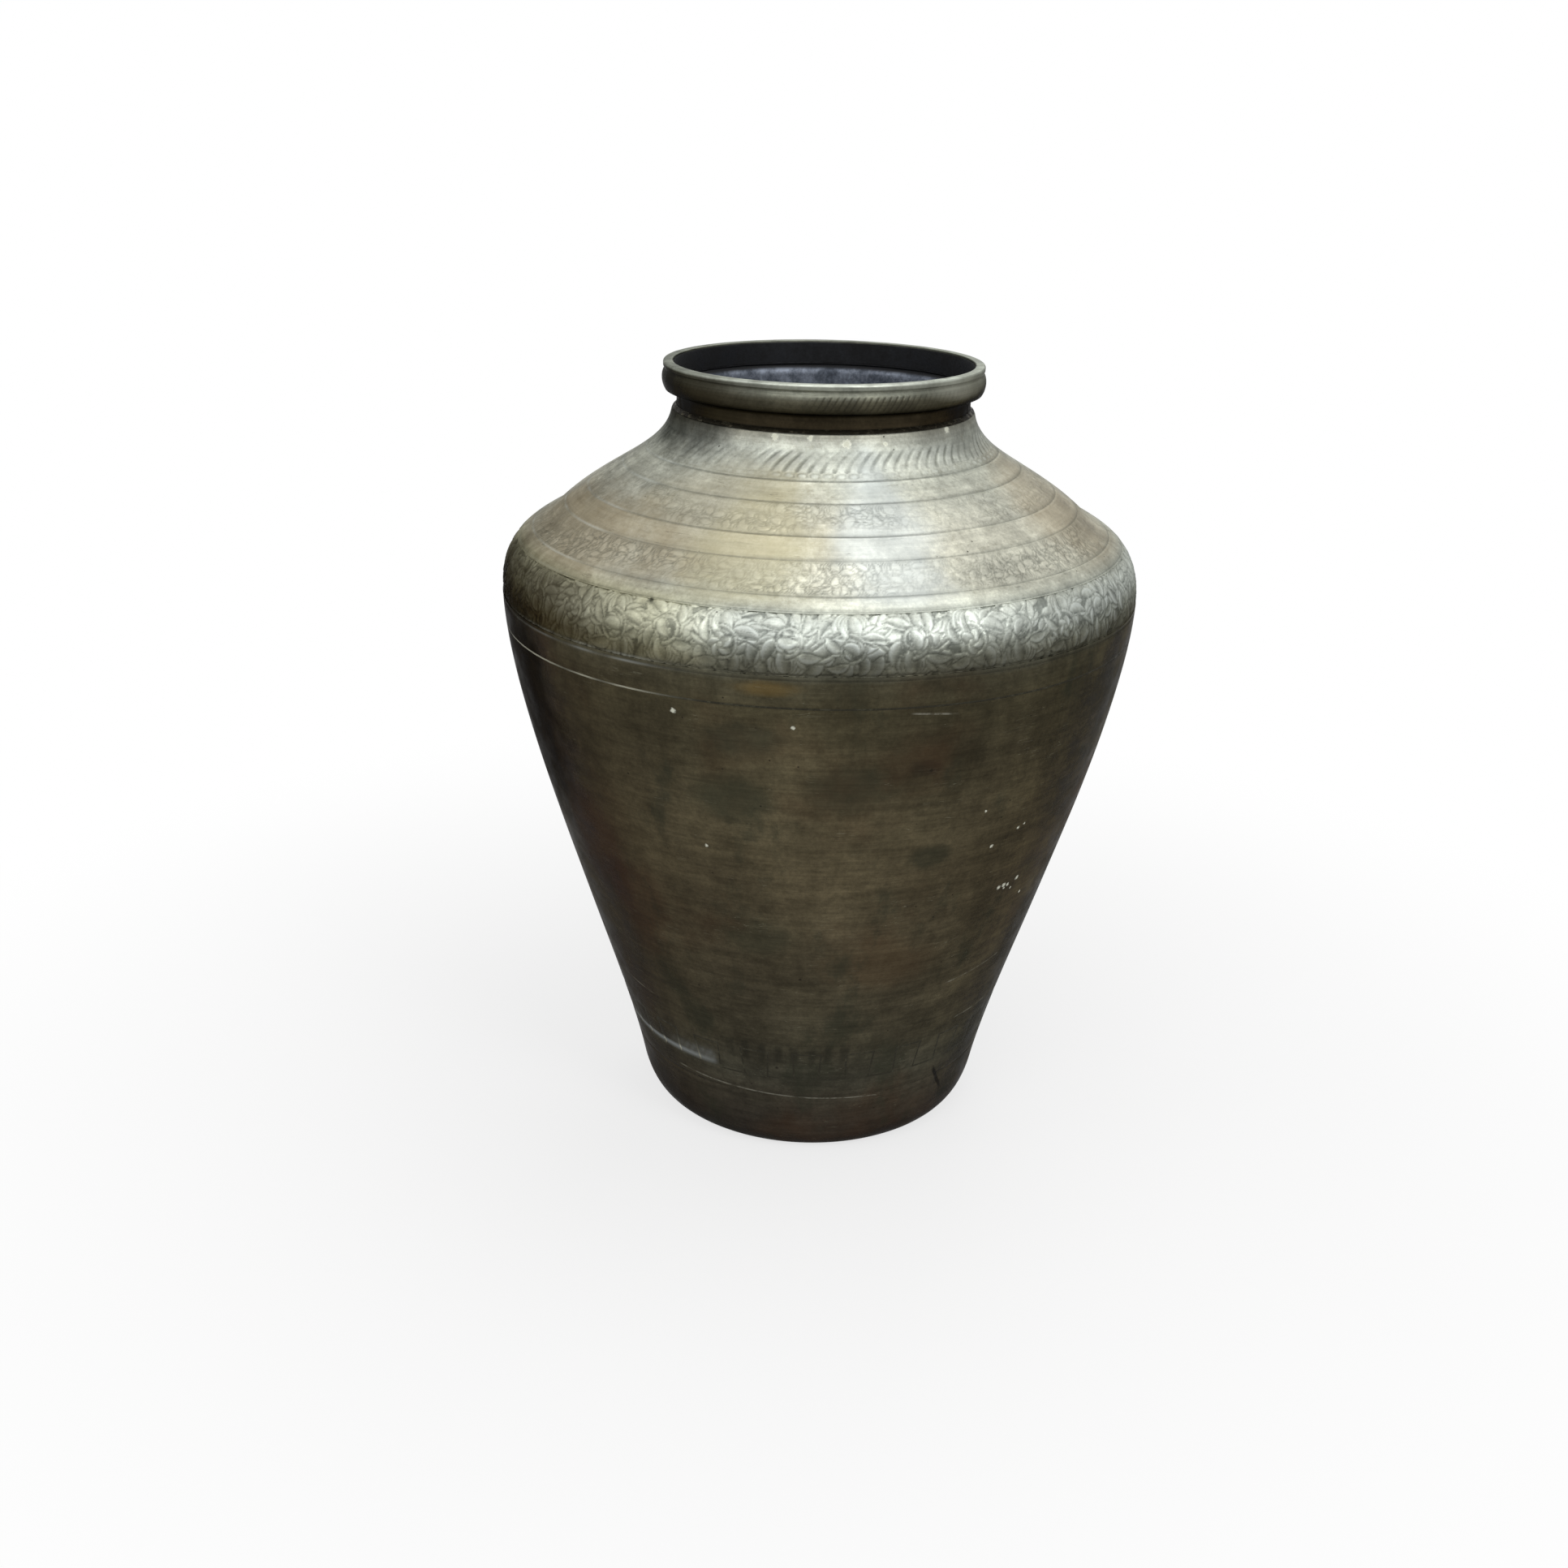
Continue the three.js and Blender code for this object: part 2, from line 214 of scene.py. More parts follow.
def spaced(start, end, spacing, marks, around):
    """Row places from start to end, with a row on each mark and one to each side of it."""
    count = max(2, int(round((end - start) / spacing)) + 1)
    plain = np.linspace(start, end, count)
    exact = np.array([m + o for m in marks for o in (-around, 0, around)])
    exact = exact[(start + 0.2 < exact) & (exact < end - 0.2)]
    gap = np.abs(plain[:, None] - exact).min(axis=1)
    keep = (gap > 0.35) | (plain == start) | (plain == end)
    return np.sort(np.concatenate([plain[keep], exact]))


# Meshes.


def add_object(name, data):
    """A new object in the scene."""
    made = bpy.data.objects.new(name, data)
    bpy.context.scene.collection.objects.link(made)
    return made


def build_mesh(name, points, faces, materials, slots, marks):
    """A mesh object from points and faces of four corners, or three if one repeats."""
    used, faces = np.unique(faces, return_inverse=True)
    faces = faces.reshape(-1, 4)
    points = points.reshape(-1, 3)[used] * MM
    repeats = faces == np.roll(faces, -1, axis=1)
    sizes = 4 - repeats.any(axis=1)
    loops = faces[~repeats]
    starts = np.concatenate([[0], np.cumsum(sizes)[:-1]])

    mesh = bpy.data.meshes.new(name)
    mesh.vertices.add(len(points))
    mesh.vertices.foreach_set("co", points.astype(np.float32).ravel())
    mesh.loops.add(len(loops))
    mesh.loops.foreach_set("vertex_index", loops.astype(np.int32))
    mesh.polygons.add(len(sizes))
    mesh.polygons.foreach_set("loop_start", starts.astype(np.int32))
    for material in materials:
        mesh.materials.append(material)
    if slots is not None:
        mesh.polygons.foreach_set("material_index", slots.astype(np.int32))
    mesh.update(calc_edges=True)
    mesh.polygons.foreach_set("use_smooth", np.ones(len(sizes), dtype=bool))
    mesh.set_sharp_from_angle(angle=SHARP_ANGLE)
    for mark, values in marks.items():
        layer = mesh.attributes.new(mark, "FLOAT", "POINT")
        layer.data.foreach_set("value", values.reshape(-1)[used].astype(np.float32))
    return add_object(name, mesh)


def turned_points(rows, azimuths, lift=0.0):
    """Points of rows of (radius, height, normal) turned about the axis and lifted along it."""
    r = rows[:, None, 0] + rows[:, None, 2] * lift
    z = rows[:, None, 1] + rows[:, None, 3] * lift
    azimuths = np.broadcast_to(azimuths, (len(rows), azimuths.shape[-1]))
    return np.stack([r * np.sin(azimuths), -r * np.cos(azimuths), z + 0 * azimuths], axis=-1)


def ring(name, outer, columns, materials, lift=0, marks=None, inner=None, inside=None):
    """A closed turned ring. Outer rows climb the outside, inner rows come down the inside.

    The second material lies on the rows marked as inside, or else between the inner rows.
    """
    azimuths = column_azimuths(columns)
    points = turned_points(outer, azimuths, lift)
    if inner is not None:
        points = np.vstack([points, turned_points(inner, azimuths)])
    rows = len(points)
    index = np.arange(rows * columns).reshape(rows, columns)
    right = np.roll(index, -1, axis=1)
    up, up_right = np.roll(index, -1, axis=0), np.roll(right, -1, axis=0)
    faces = np.stack([index, right, up_right, up], axis=-1).reshape(-1, 4)
    if inside is None:
        inside = (np.arange(rows) >= len(outer)) & (np.arange(rows) < rows - 1)
    slots = np.repeat(inside, columns) if len(materials) > 1 else None
    full = {}
    for mark, values in (marks or {}).items():
        full[mark] = np.pad(values + 0 * lift, ((0, rows - len(outer)), (0, 0)))
    return build_mesh(name, points, faces, materials, slots, full)


def sheet(name, outer, inner, cells, materials, marks, pole=False):
    """A closed solid from the chosen cells of a turned grid, between an outer and an inner skin.

    With a pole, the grid's first row is one point.
    """
    rows, columns = outer.shape[:2]
    index = np.arange(rows * columns).reshape(rows, columns)
    if pole:
        index[0] = 0
    right = np.roll(index, -1, axis=1)
    under = rows * columns
    skin = np.stack([index[:-1], right[:-1], right[1:], index[1:]], axis=-1)[cells]
    empty = np.zeros((1, columns), dtype=bool)
    below = np.vstack([cells[:1] if pole else empty, cells])
    above = np.vstack([cells, empty])
    left = np.roll(cells, 1, axis=1)

    def wall(a, b, where):
        a, b = a[where], b[where]
        return np.stack([a, b, b + under, a + under], axis=-1)

    walls = [
        wall(right, index, above & ~below),
        wall(index, right, below & ~above),
        wall(index[:-1], index[1:], cells & ~left),
        wall(index[1:], index[:-1], left & ~cells),
    ]
    faces = np.vstack([skin, skin[:, ::-1] + under, *walls])
    slots = np.zeros(len(faces))
    slots[len(skin) : 2 * len(skin)] = 1
    full = {mark: np.stack([values, values * 0]) for mark, values in marks.items()}
    return build_mesh(name, np.stack([outer, inner]), faces, materials, slots, full)


def rounded_section(corners, steps):
    """A closed section from (radius, height, rounding) corners, each rounded corner as an arc."""
    points = []
    for i, (r, z, rounding) in enumerate(corners):
        here = np.array((r, z))
        if rounding <= 0:
            points.append(here)
            continue
        back = np.array(corners[i - 1][:2]) - here
        ahead = np.array(corners[(i + 1) % len(corners)][:2]) - here
        back_length, ahead_length = np.linalg.norm(back), np.linalg.norm(ahead)
        back, ahead = back / back_length, ahead / ahead_length
        half = math.acos(np.clip(np.dot(back, ahead), -1, 1)) / 2
        reach = min(rounding / math.tan(half), 0.49 * back_length, 0.49 * ahead_length)
        for t in np.linspace(0, 1, steps):
            a, b = here + back * reach, here + ahead * reach
            points.append((1 - t) ** 2 * a + 2 * t * (1 - t) * here + t * t * b)
    return np.array(points)


def with_normals(loop):
    """Rows of radius, height and outward normal for a closed section."""
    tangent = np.roll(loop, -1, axis=0) - np.roll(loop, 1, axis=0)
    tangent /= np.linalg.norm(tangent, axis=1)[:, None]
    return np.column_stack([loop, tangent[:, 1], -tangent[:, 0]])


# Engraving: distance fields on the unrolled grid of one band.


class Relief:
    """Figures laid over one another on a band, kept as distances to their outlines and veins."""

    def __init__(self, arcs, columns, seed):
        self.rng = np.random.default_rng(seed)
        self.rows = arcs
        self.columns = columns
        self.length = TURN * float(np.interp(arcs.mean(), OUT_S, OUT_R))
        self.step = self.length / columns
        shape = (len(arcs), columns)
        self.edge = np.full(shape, FAR)
        self.vein = np.full(shape, FAR)
        self.cover = np.zeros(shape, dtype=bool)
        self.tone = np.zeros(shape)
        self.slope = np.zeros(shape)

    def lay(self, u, v, radii, tone, slant=0.0, vein=True):
        """One figure, drawn as round dabs along a spine, over whatever lies there.

        Its surface slopes across the spine by its slant: one side stands up, the other sinks.
        """
        reach = np.max(radii) + OUTLINE_REACH
        low, high = np.searchsorted(self.rows, (np.min(v) - reach, np.max(v) + reach))
        if low >= high:
            return
        first = math.ceil((np.min(u) - reach) / self.step)
        places = np.arange(first, int((np.max(u) + reach) / self.step) + 1)
        across = places * self.step - u[:, None]
        up = self.rows[low:high] - v[:, None]
        spine = np.sqrt(across[:, None, :] ** 2 + up[:, :, None] ** 2)
        gaps = spine - radii[:, None, None]
        nearest = gaps.argmin(axis=0)
        distance = gaps.min(axis=0)
        inside = distance < 0
        block = np.ix_(np.arange(low, high), places % self.columns)

        def fill(field, value):
            field[block] = np.where(inside, value, field[block])

        self.edge[block] = np.where(inside, -distance, np.minimum(self.edge[block], distance))
        self.cover[block] |= inside
        fill(self.vein, spine[2:-2].min(axis=0) if vein else FAR)
        fill(self.tone, tone)
        way_u, way_v = np.gradient(u), np.gradient(v)
        size = np.hypot(way_u, way_v) * radii + 1e-6
        row, column = np.indices(nearest.shape)
        aside = way_u[nearest] * up[nearest, row] - way_v[nearest] * across[nearest, column]
        fill(self.slope, slant * aside / size[nearest])

    def leaf(self, u, v, heading, length, width, bend, tone, fingers=0):
        """A curved leaf, raised along its outer edge, over fingers that fan out on both sides."""
        steps = 12
        t = np.linspace(0, 1, steps)
        turned = heading + bend * t
        us = u + np.cumsum(np.cos(turned)) * length / steps
        vs = v + np.cumsum(np.sin(turned)) * length / steps
        for finger in range(fingers):
            at = int((0.05 + 0.62 * finger / fingers) * steps)
            reach = length * (0.66 - 0.2 * finger / fingers)
            finger_tone = tone * (0.8 + 0.2 * (finger % 2))
            for side in (-1, 1):
                way = turned[at] + side * 0.8
                self.leaf(us[at], vs[at], way, reach, width * 0.72, -side * 0.75, finger_tone)
        radii = 0.2 + width * np.sin(math.pi * t**0.75) ** 1.1
        self.lay(us, vs, radii, tone, -math.copysign(1, bend))

    def flower(self, u, v, radius, petals):
        """Petals that overlap round a button."""
        turn = self.rng.uniform(0, TURN)
        for petal in range(petals):
            heading = turn + petal * TURN / petals
            self.leaf(u, v, heading, radius, radius * 0.4, 0.6, self.rng.uniform(0.5, 1))
        self.lay(np.full(5, u), np.full(5, v), np.full(5, radius * 0.26), 0.9, vein=False)

    def stem(self, u, v, radii):
        """A long stem, laid in short runs that overlap."""
        for first in range(0, len(u) - 1, 6):
            run = slice(first, first + 8)
            self.lay(u[run], v[run], radii[run], 0.7, 1, vein=False)

    def volute(self, u, v, radius, start, sense):
        """A curling stem with fingered leaves on its outside and a flower or a leaf at its heart."""
        rng, steps = self.rng, 40
        t = np.linspace(0, 1, steps)
        angle = start + sense * t * 1.2 * TURN
        reach = radius * (1 - 0.62 * t**0.85)
        us, vs = u + reach * np.cos(angle), v + reach * np.sin(angle)
        for share in (0.62, 0.44, 0.27, 0.1):
            at = int(share * (steps - 1))
            self.leaf(
                us[at], vs[at], angle[at] + sense * rng.uniform(0.4, 0.9), radius * rng.uniform(1.3, 1.9),
                radius * rng.uniform(0.26, 0.36), sense * rng.uniform(0.7, 1.5), rng.uniform(0.45, 1),
                int(rng.integers(0, 4)),
            )
        self.stem(us, vs, radius * (0.15 - 0.06 * t))
        if rng.random() < 0.35:
            self.flower(u, v, radius * 0.72, 5)
        else:
            heading = rng.uniform(0, TURN)
            away_u, away_v = math.cos(heading) * radius * 0.55, math.sin(heading) * radius * 0.55
            self.leaf(u - away_u, v - away_v, heading - 0.6, radius * 1.25, radius * 0.36, 1.3, 0.9, 2)

    def foliage(self, low, high, periods):
        """A wavy stem the whole way round, in a bed of leaves, with a volute in each of its bays."""
        rng = self.rng
        middle, room = (low + high) / 2, (high - low) / 2
        period = self.length / periods
        bed = room * 0.7
        for place in np.arange(0, self.length, bed):
            for height in np.arange(low - bed * 0.3, high + bed * 0.5, bed * 0.8):
                phase = (place / period * 2) % 1 - 0.5
                heading = math.atan2(phase * period / 2, middle - height) + rng.uniform(-0.8, 0.8)
                sense = rng.choice((-1, 1))
                self.leaf(
                    place + rng.uniform(-2, 2), height + rng.uniform(-2, 2), heading,
                    room * rng.uniform(1.1, 1.7), room * rng.uniform(0.2, 0.28),
                    sense * rng.uniform(0.8, 2.0), rng.uniform(0.3, 1), int(rng.integers(0, 3)),
                )
        u = np.arange(0, self.length, 1.1)
        self.stem(u, middle + 0.5 * room * np.sin(u / period * TURN), np.full(len(u), room * 0.08))
        for bay in range(2 * periods):
            side = 1 if bay % 2 == 0 else -1
            centre_u = (bay + 0.5) * period / 2 + rng.uniform(-1.5, 1.5)
            for turn in (-1.1, 1.1, -0.35, 0.35):
                self.leaf(
                    centre_u, middle + side * room * 1.02, -side * math.pi / 2 + turn, room * 0.9,
                    room * 0.24, turn * -0.7, rng.uniform(0.5, 1), 1,
                )
            centre_v = middle - side * room * 0.14 + rng.uniform(-1, 1)
            radius = min(room * 0.6, period * 0.22) * rng.uniform(0.85, 1.1)
            self.volute(centre_u, centre_v, radius, math.pi / 2 * side, -side)


def circle_groove(arcs, centre, half=CIRCLE_HALF):
    """Depth share of a turned line at each arc length, as one column."""
    return np.clip(1 - np.abs(arcs - centre) / half, 0, 1)[:, None]


def rubbed_side(azimuths, end):
    """One over the urn's left side in the picture, up to an end in degrees, unevenly."""
    degrees = signed_degrees(azimuths)
    uneven = 0.65 + 0.35 * np.sin(azimuths * 23 + 2 * np.sin(azimuths * 9))
    return window(degrees, -112, -88, end - 8, end + 8) * uneven


def waviness(azimuths, arcs):
    """Gentle dents left by the hammer and by use, from 0 down to minus one."""
    rng = np.random.default_rng(3)
    total, weight = 0, 0
    for _ in range(14):
        waves = rng.integers(2, 17)
        rise = rng.uniform(-0.07, 0.07)
        size = 1 / (2 + waves * 0.3)
        total = total + size * np.sin(waves * azimuths + rise * arcs + rng.uniform(0, TURN))
        weight += size
    return -0.5 + 0.5 * np.clip(total / weight * 2.2, -1, 1)


def band_noise(arcs, azimuths, seed):
    """Smooth unevenness round a band, about minus one to one."""
    rng = np.random.default_rng(seed + 500)
    total = 0
    for _ in range(9):
        waves = rng.integers(2, 14)
        tilt = rng.uniform(-0.2, 0.2)
        total = total + np.sin(waves * azimuths + tilt * arcs[:, None] + rng.uniform(0, TURN))
    return total / 3


def local_dent(azimuths, heights, at_degrees, at_height, width, rise):
    """One soft dent, one at its middle and nothing away from it."""
    turn = (azimuths - math.radians(at_degrees) + math.pi) % TURN - math.pi
    return np.exp(-((turn * radius_at(heights) / width) ** 2) - ((heights - at_height) / rise) ** 2)


# Materials.


def srgb(red, green, blue):
    """A colour written as 0 to 255 values, as Blender's linear one."""
    values = np.array((red, green, blue)) / 255
    linear = np.where(values <= 0.04045, values / 12.92, ((values + 0.055) / 1.055) ** 2.4)
    return (*linear, 1.0)


class Nodes:
    """Short ways to add nodes to one tree."""

    def __init__(self, tree):
        self.tree = tree

    def put(self, socket, value):
        if isinstance(value, bpy.types.NodeSocket):
            self.tree.links.new(value, socket)
        else:
            socket.default_value = value

    def add(self, kind, inputs=(), **settings):
        """A new node with its settings, and with its inputs, by number or name, set or linked."""
        node = self.tree.nodes.new("ShaderNode" + kind)
        for setting, value in settings.items():
            setattr(node, setting, value)
        for socket, value in dict(inputs).items():
            self.put(node.inputs[socket], value)
        return node

    def calc(self, operation, a, b=0, c=0):
        return self.add("Math", enumerate((a, b, c)), operation=operation).outputs[0]

    def times(self, product, *factors):
        for factor in factors:
            product = self.calc("MULTIPLY", product, factor)
        return product

    def between(self, value, low, high, to_low=0, to_high=1):
        """Turns smoothly from to_low to to_high while the value goes from low to high."""
        inputs = enumerate((value, low, high, to_low, to_high))
        return self.add("MapRange", inputs, interpolation_type="SMOOTHSTEP").outputs[0]

    def background_ray(self):
        """One for rays from the camera, and for mirrored and refracted ones."""
        path = self.add("LightPath").outputs
        seen = self.calc("MAXIMUM", path["Is Camera Ray"], path["Is Glossy Ray"])
        return self.calc("MAXIMUM", seen, path["Is Transmission Ray"])


class Shading(Nodes):
    """One material: its colour so far, and the place, height and azimuth in degrees of each point."""

    def __init__(self, name, metallic, specular=1):
        self.material = bpy.data.materials.new(name)
        self.material.use_nodes = True
        super().__init__(self.material.node_tree)
        self.shader = self.tree.nodes["Principled BSDF"]
        self.shader.inputs["Metallic"].default_value = metallic
        self.shader.inputs["Specular Tint"].default_value = (specular, specular, specular, 1)
        self.place = self.vector("SCALE", self.add("TexCoord").outputs["Object"], 1 / MM)
        x, y, self.height = self.add("SeparateXYZ", {0: self.place}).outputs
        self.azimuth = self.times(self.calc("ARCTAN2", x, self.times(y, -1)), math.degrees(1))

    def vector(self, operation, a, b=(0, 0, 0)):
        second = "Scale" if operation == "SCALE" else 1
        node = self.add("VectorMath", {0: a, second: b}, operation=operation)
        return node.outputs["Value" if operation in ("DISTANCE", "LENGTH") else "Vector"]

    def mix(self, factor, a, b):
        return self.add("Mix", {0: factor, 6: a, 7: b}, data_type="RGBA").outputs[2]

    def tint(self, where, amount, tint):
        """Draws the colour towards a tint by an amount, where a mask is one."""
        self.colour = self.mix(self.times(where, amount), self.colour, srgb(*tint))

    def shade(self, factor):
        """Makes the colour lighter or darker by a factor."""
        self.colour = self.vector("SCALE", self.colour, factor)

    def change(self, where, amount):
        """Makes the colour lighter or darker by a share of itself, where a mask is one."""
        self.shade(self.calc("MULTIPLY_ADD", where, amount, 1))

    def by_height(self, height, table):
        """Starts the colour with the blended colours of a table of (height, colour)."""
        first, last = table[0][0], table[-1][0]
        share = self.calc("DIVIDE", self.calc("SUBTRACT", height, first), last - first)
        node = self.add("ValToRGB", {0: share})
        stops = node.color_ramp.elements
        for _ in table[2:]:
            stops.new(0.5)
        for stop, (level, colour) in zip(stops, table):
            stop.position = (level - first) / (last - first)
            stop.color = srgb(*colour)
        self.colour = node.outputs[0]

    def noise(self, scale, detail, rough=0.55, stretch=None, shift=0):
        place = self.place
        if stretch:
            place = self.vector("MULTIPLY", place, stretch)
        if shift:
            place = self.vector("ADD", place, (shift, shift * 1.7, shift * 0.6))
        inputs = {"Vector": place, "Scale": scale, "Detail": detail, "Roughness": rough}
        return self.add("TexNoise", inputs).outputs[0]

    def patchy(self, noise, low, high, least=0, most=1):
        """Least where a noise is under low, most where it is over high."""
        return self.between(self.noise(*noise), low, high, least, most)

    def lines(self, noise, level, half):
        """One along the thin lines where a noise crosses a level."""
        away = self.calc("ABSOLUTE", self.calc("SUBTRACT", self.noise(*noise), level))
        return self.between(away, 0, half, 1, 0)

    def mark(self, name):
        return self.add("Attribute", attribute_name=name).outputs["Fac"]

    def spots(self, places, ragged=0.3):
        """One over round spots at (azimuth degrees, height, radius) on the surface."""
        uneven = self.noise(0.9, 2)
        total = 0
        for degrees, height, radius in places:
            away = self.vector("DISTANCE", self.place, surface_point(degrees, height))
            edge = self.calc("MULTIPLY_ADD", uneven, radius * ragged * 4, away)
            low, high = radius * (0.45 + ragged * 2), radius * (1.3 + ragged * 2)
            total = self.calc("MAXIMUM", total, self.between(edge, low, high, 1, 0))
        return total

    def window(self, value, rise_start, rise_end, fall_start, fall_end):
        """From nothing up to one, and back down to nothing."""
        rising = self.between(value, rise_start, rise_end)
        return self.times(rising, self.between(value, fall_end, fall_start))

    def region(self, degrees, reach, height, rise, ragged=0.9):
        """One over an uneven patch about (azimuth degrees, height)."""
        across = self.calc("DIVIDE", self.calc("SUBTRACT", self.azimuth, degrees), reach)
        up = self.calc("DIVIDE", self.calc("SUBTRACT", self.height, height), rise)
        away = self.calc("SQRT", self.calc("MULTIPLY_ADD", across, across, self.times(up, up)))
        uneven = self.calc("SUBTRACT", self.noise(0.03, 5, 0.6), 0.5)
        return self.between(self.calc("MULTIPLY_ADD", uneven, ragged, away), 0.45, 1.15, 1, 0)

    def streaks(self, lines, least=0.15):
        """One along lines from (azimuth degrees, height) to another, each with a half width."""
        total = 0
        for start, start_height, end, end_height, half in lines:
            slope = (end_height - start_height) / (end - start)
            line = self.calc("MULTIPLY_ADD", self.azimuth, slope, start_height - slope * start)
            away = self.calc("ABSOLUTE", self.calc("SUBTRACT", self.height, line))
            on_line = self.between(away, half * 0.4, half * 1.3, 1, 0)
            along_it = self.window(self.azimuth, start - 1, start + 1, end - 1, end + 1)
            total = self.calc("MAXIMUM", total, self.times(on_line, along_it))
        return self.times(total, self.patchy((0.16, 4, 0.65), 0.4, 0.6, least))

    def finish(self, roughness, *bumps):
        """The finished material. A bump is its height, its distance and its strength."""
        self.put(self.shader.inputs["Base Color"], self.colour)
        self.put(self.shader.inputs["Roughness"], roughness)
        normal = self.shader.inputs["Normal"]
        for height, distance, strength in reversed(bumps):
            inputs = {"Strength": strength, "Distance": distance * MM, "Height": height}
            bump = self.add("Bump", inputs)
            self.put(normal, bump.outputs[0])
            normal = bump.inputs["Normal"]
        return self.material


# Brass colours by height: of pan, wall and shoulder, darker below and paler above,
# partly grime and wear and partly painted light: a painted dark reflection on the wall,
# a painted highlight over the upper scroll band and painted shade just under the neck; then of neck and
# rim.
BRASS_BY_HEIGHT = (
    (0, (42, 38, 32)), (20, (54, 49, 42)), (45, (62, 58, 48)), (62, (62, 60, 50)),
    (90, (60, 56, 44)), (150, (66, 60, 46)), (210, (71, 64, 48)), (270, (69, 63, 47)),
    (318, (66, 61, 45)), (334, (70, 66, 51)), (339, (88, 87, 74)), (344, (95, 95, 83)),
    (350, (132, 135, 124)), (357, (176, 181, 173)), (364, (194, 199, 190)), (369, (180, 183, 171)),
    (377, (181, 180, 165)), (400, (180, 179, 165)), (420, (174, 176, 164)), (435, (164, 167, 157)),
    (440, (152, 153, 142)), (443, (128, 127, 115)),
)
# The neck darkens upwards into painted shadow under the rim.
NECK_BY_HEIGHT = ((434, (40, 36, 28)), (446, (46, 40, 29)), (452, (42, 37, 27)), (456, (26, 23, 18)))
# The rim is darker at its foot and paler up its band: painted shade where it faces down, painted light
# where it faces up.
RIM_BY_HEIGHT = (
    (454, (58, 54, 42)), (457, (62, 59, 47)), (461, (72, 70, 58)), (464.5, (90, 91, 80)),
    (467, (106, 108, 98)), (470, (116, 118, 108)),
)
# Unevenness of the old brass: a noise, its limits, and the least and most that it shades by.
BRASS_CLOUDS = (
    ((0.016, 6, 0.62), 0.3, 0.7, 0.76, 1.22),
    ((1, 5, 0.6, (0.035, 0.035, 0.011), 7), 0.38, 0.62, 0.9, 1.1),
    ((0.12, 8, 0.7), 0.25, 0.75, 0.82, 1.18),
    ((0.45, 8, 0.75, None, 27), 0.3, 0.7, 0.84, 1.16),
)
# Rust and verdigris: a noise, its limits, amount and colour.
WALL_STAINS = (
    ((0.011, 5, 0.55, None, 31), 0.5, 0.72, 0.5, (66, 47, 32)),
    ((1, 6, 0.65, (0.03, 0.03, 0.016), 53), 0.54, 0.7, 0.6, (44, 46, 36)),
)
# Spots: azimuth degrees, height and radius.
PAINT_SPECKS = (
    (-23.5, 312, 1.5), (-3.5, 309, 1.1), (-20, 230, 1.0), (33, 249, 0.9), (37, 223, 1.1),
    (43.2, 230.5, 1.0), (44.8, 232, 0.8), (43.6, 188.6, 1.4), (45.2, 189.2, 1.7),
    (46.6, 188.2, 1.2), (45.6, 186.6, 0.9), (49.4, 190.4, 1.5), (48.2, 184.6, 0.8),
    (53.5, 176.5, 1.1), (-16.8, 440.6, 2.0), (-4.2, 440.8, 1.6), (8.5, 438, 2.3),
    (51.2, 441.4, 2.0), (22.4, 437.5, 1.2), (130, 251, 1.2), (171, 302, 1.1), (-96, 214, 1.2),
    (-141, 268, 1.0), (-128, 166, 1.1),
)
PITS = (
    (-28.8, 368.2, 1.5), (-2, 140, 0.9), (-8.6, 68, 1.1), (20, 281.5, 1.0), (156, 372, 1.1),
    (-120, 380, 0.9), (98, 129, 0.9),
)
# Lines: azimuth degrees and height of one end and of the other, and half the width.
PALE_STREAKS = (
    (36.8, 124.5, 55.8, 129.5, 0.6), (45.5, 90, 60, 91.5, 0.6), (15.8, 316.5, 22.8, 314.5, 0.6),
    (-43, 49.5, 1.8, 45.0, 0.55), (1.8, 45.0, 22, 43.6, 0.4), (-64, 104, -47, 101, 0.5),
    (118, 208, 141, 212, 0.6), (-152, 118, -120, 115, 0.6),
)
NICK = ((43.0, 51.0, 49.5, 32, 2.6),)
# Patches: azimuth degrees and reach, height and reach, amount, colour.
# On the shoulder, the cool silver patch at 15 degrees is a painted highlight; the other patches are
# patina.
SHOULDER_PATINA_AND_HIGHLIGHT = (
    (-14, 15, 392, 36, 0.4, (187, 181, 142)), (142, 30, 396, 40, 0.4, (186, 178, 130)),
    (-24, 32, 404, 30, 0.35, (187, 177, 146)), (15, 13, 395, 44, 0.6, (174, 181, 182)),
    (-62, 36, 384, 26, 0.6, (156, 142, 114)), (74, 22, 396, 34, 0.55, (162, 150, 126)),
)
WALL_PATINA = (
    (-14, 9, 263, 16, 0.55, (40, 43, 33)), (7, 10, 273, 17, 0.6, (40, 43, 33)),
    (23, 5, 225, 9, 0.6, (38, 40, 31)), (-12, 8, 301, 12, 0.45, (42, 45, 36)),
    (-11, 9, 171, 16, 0.4, (42, 45, 34)), (19, 3.5, 284, 6, 0.6, (32, 31, 25)),
    (-50, 11, 205, 45, 0.55, (64, 40, 28)), (-40, 9, 180, 30, 0.4, (62, 42, 30)),
    (16, 14, 150, 22, 0.28, (82, 64, 44)), (150, 14, 240, 24, 0.5, (40, 43, 33)),
    (-150, 12, 190, 22, 0.5, (42, 44, 34)), (112, 10, 160, 18, 0.45, (64, 46, 32)),
)
# Lighter and darker places, among them painted shade on the shoulder beside the neck on both sides
# and a painted sheen on the wall's right edge: azimuth degrees and reach, height and reach, change.
TONES_AND_PAINTED_LIGHT = (
    (32, 34, 305, 50, -0.22), (38, 24, 95, 45, 0.35), (-45, 18, 90, 30, 0.25),
    (50, 24, 439, 12, -0.22), (-32, 16, 440, 12, -0.16), (62, 16, 392, 26, 0.14),
    (13, 9, 350, 8, -0.25), (54, 14, 165, 40, 0.28), (17, 9, 240, 18, -0.14), (44, 9, 346, 6, 0.3),
    (-28, 12, 344, 7, 0.28),
)


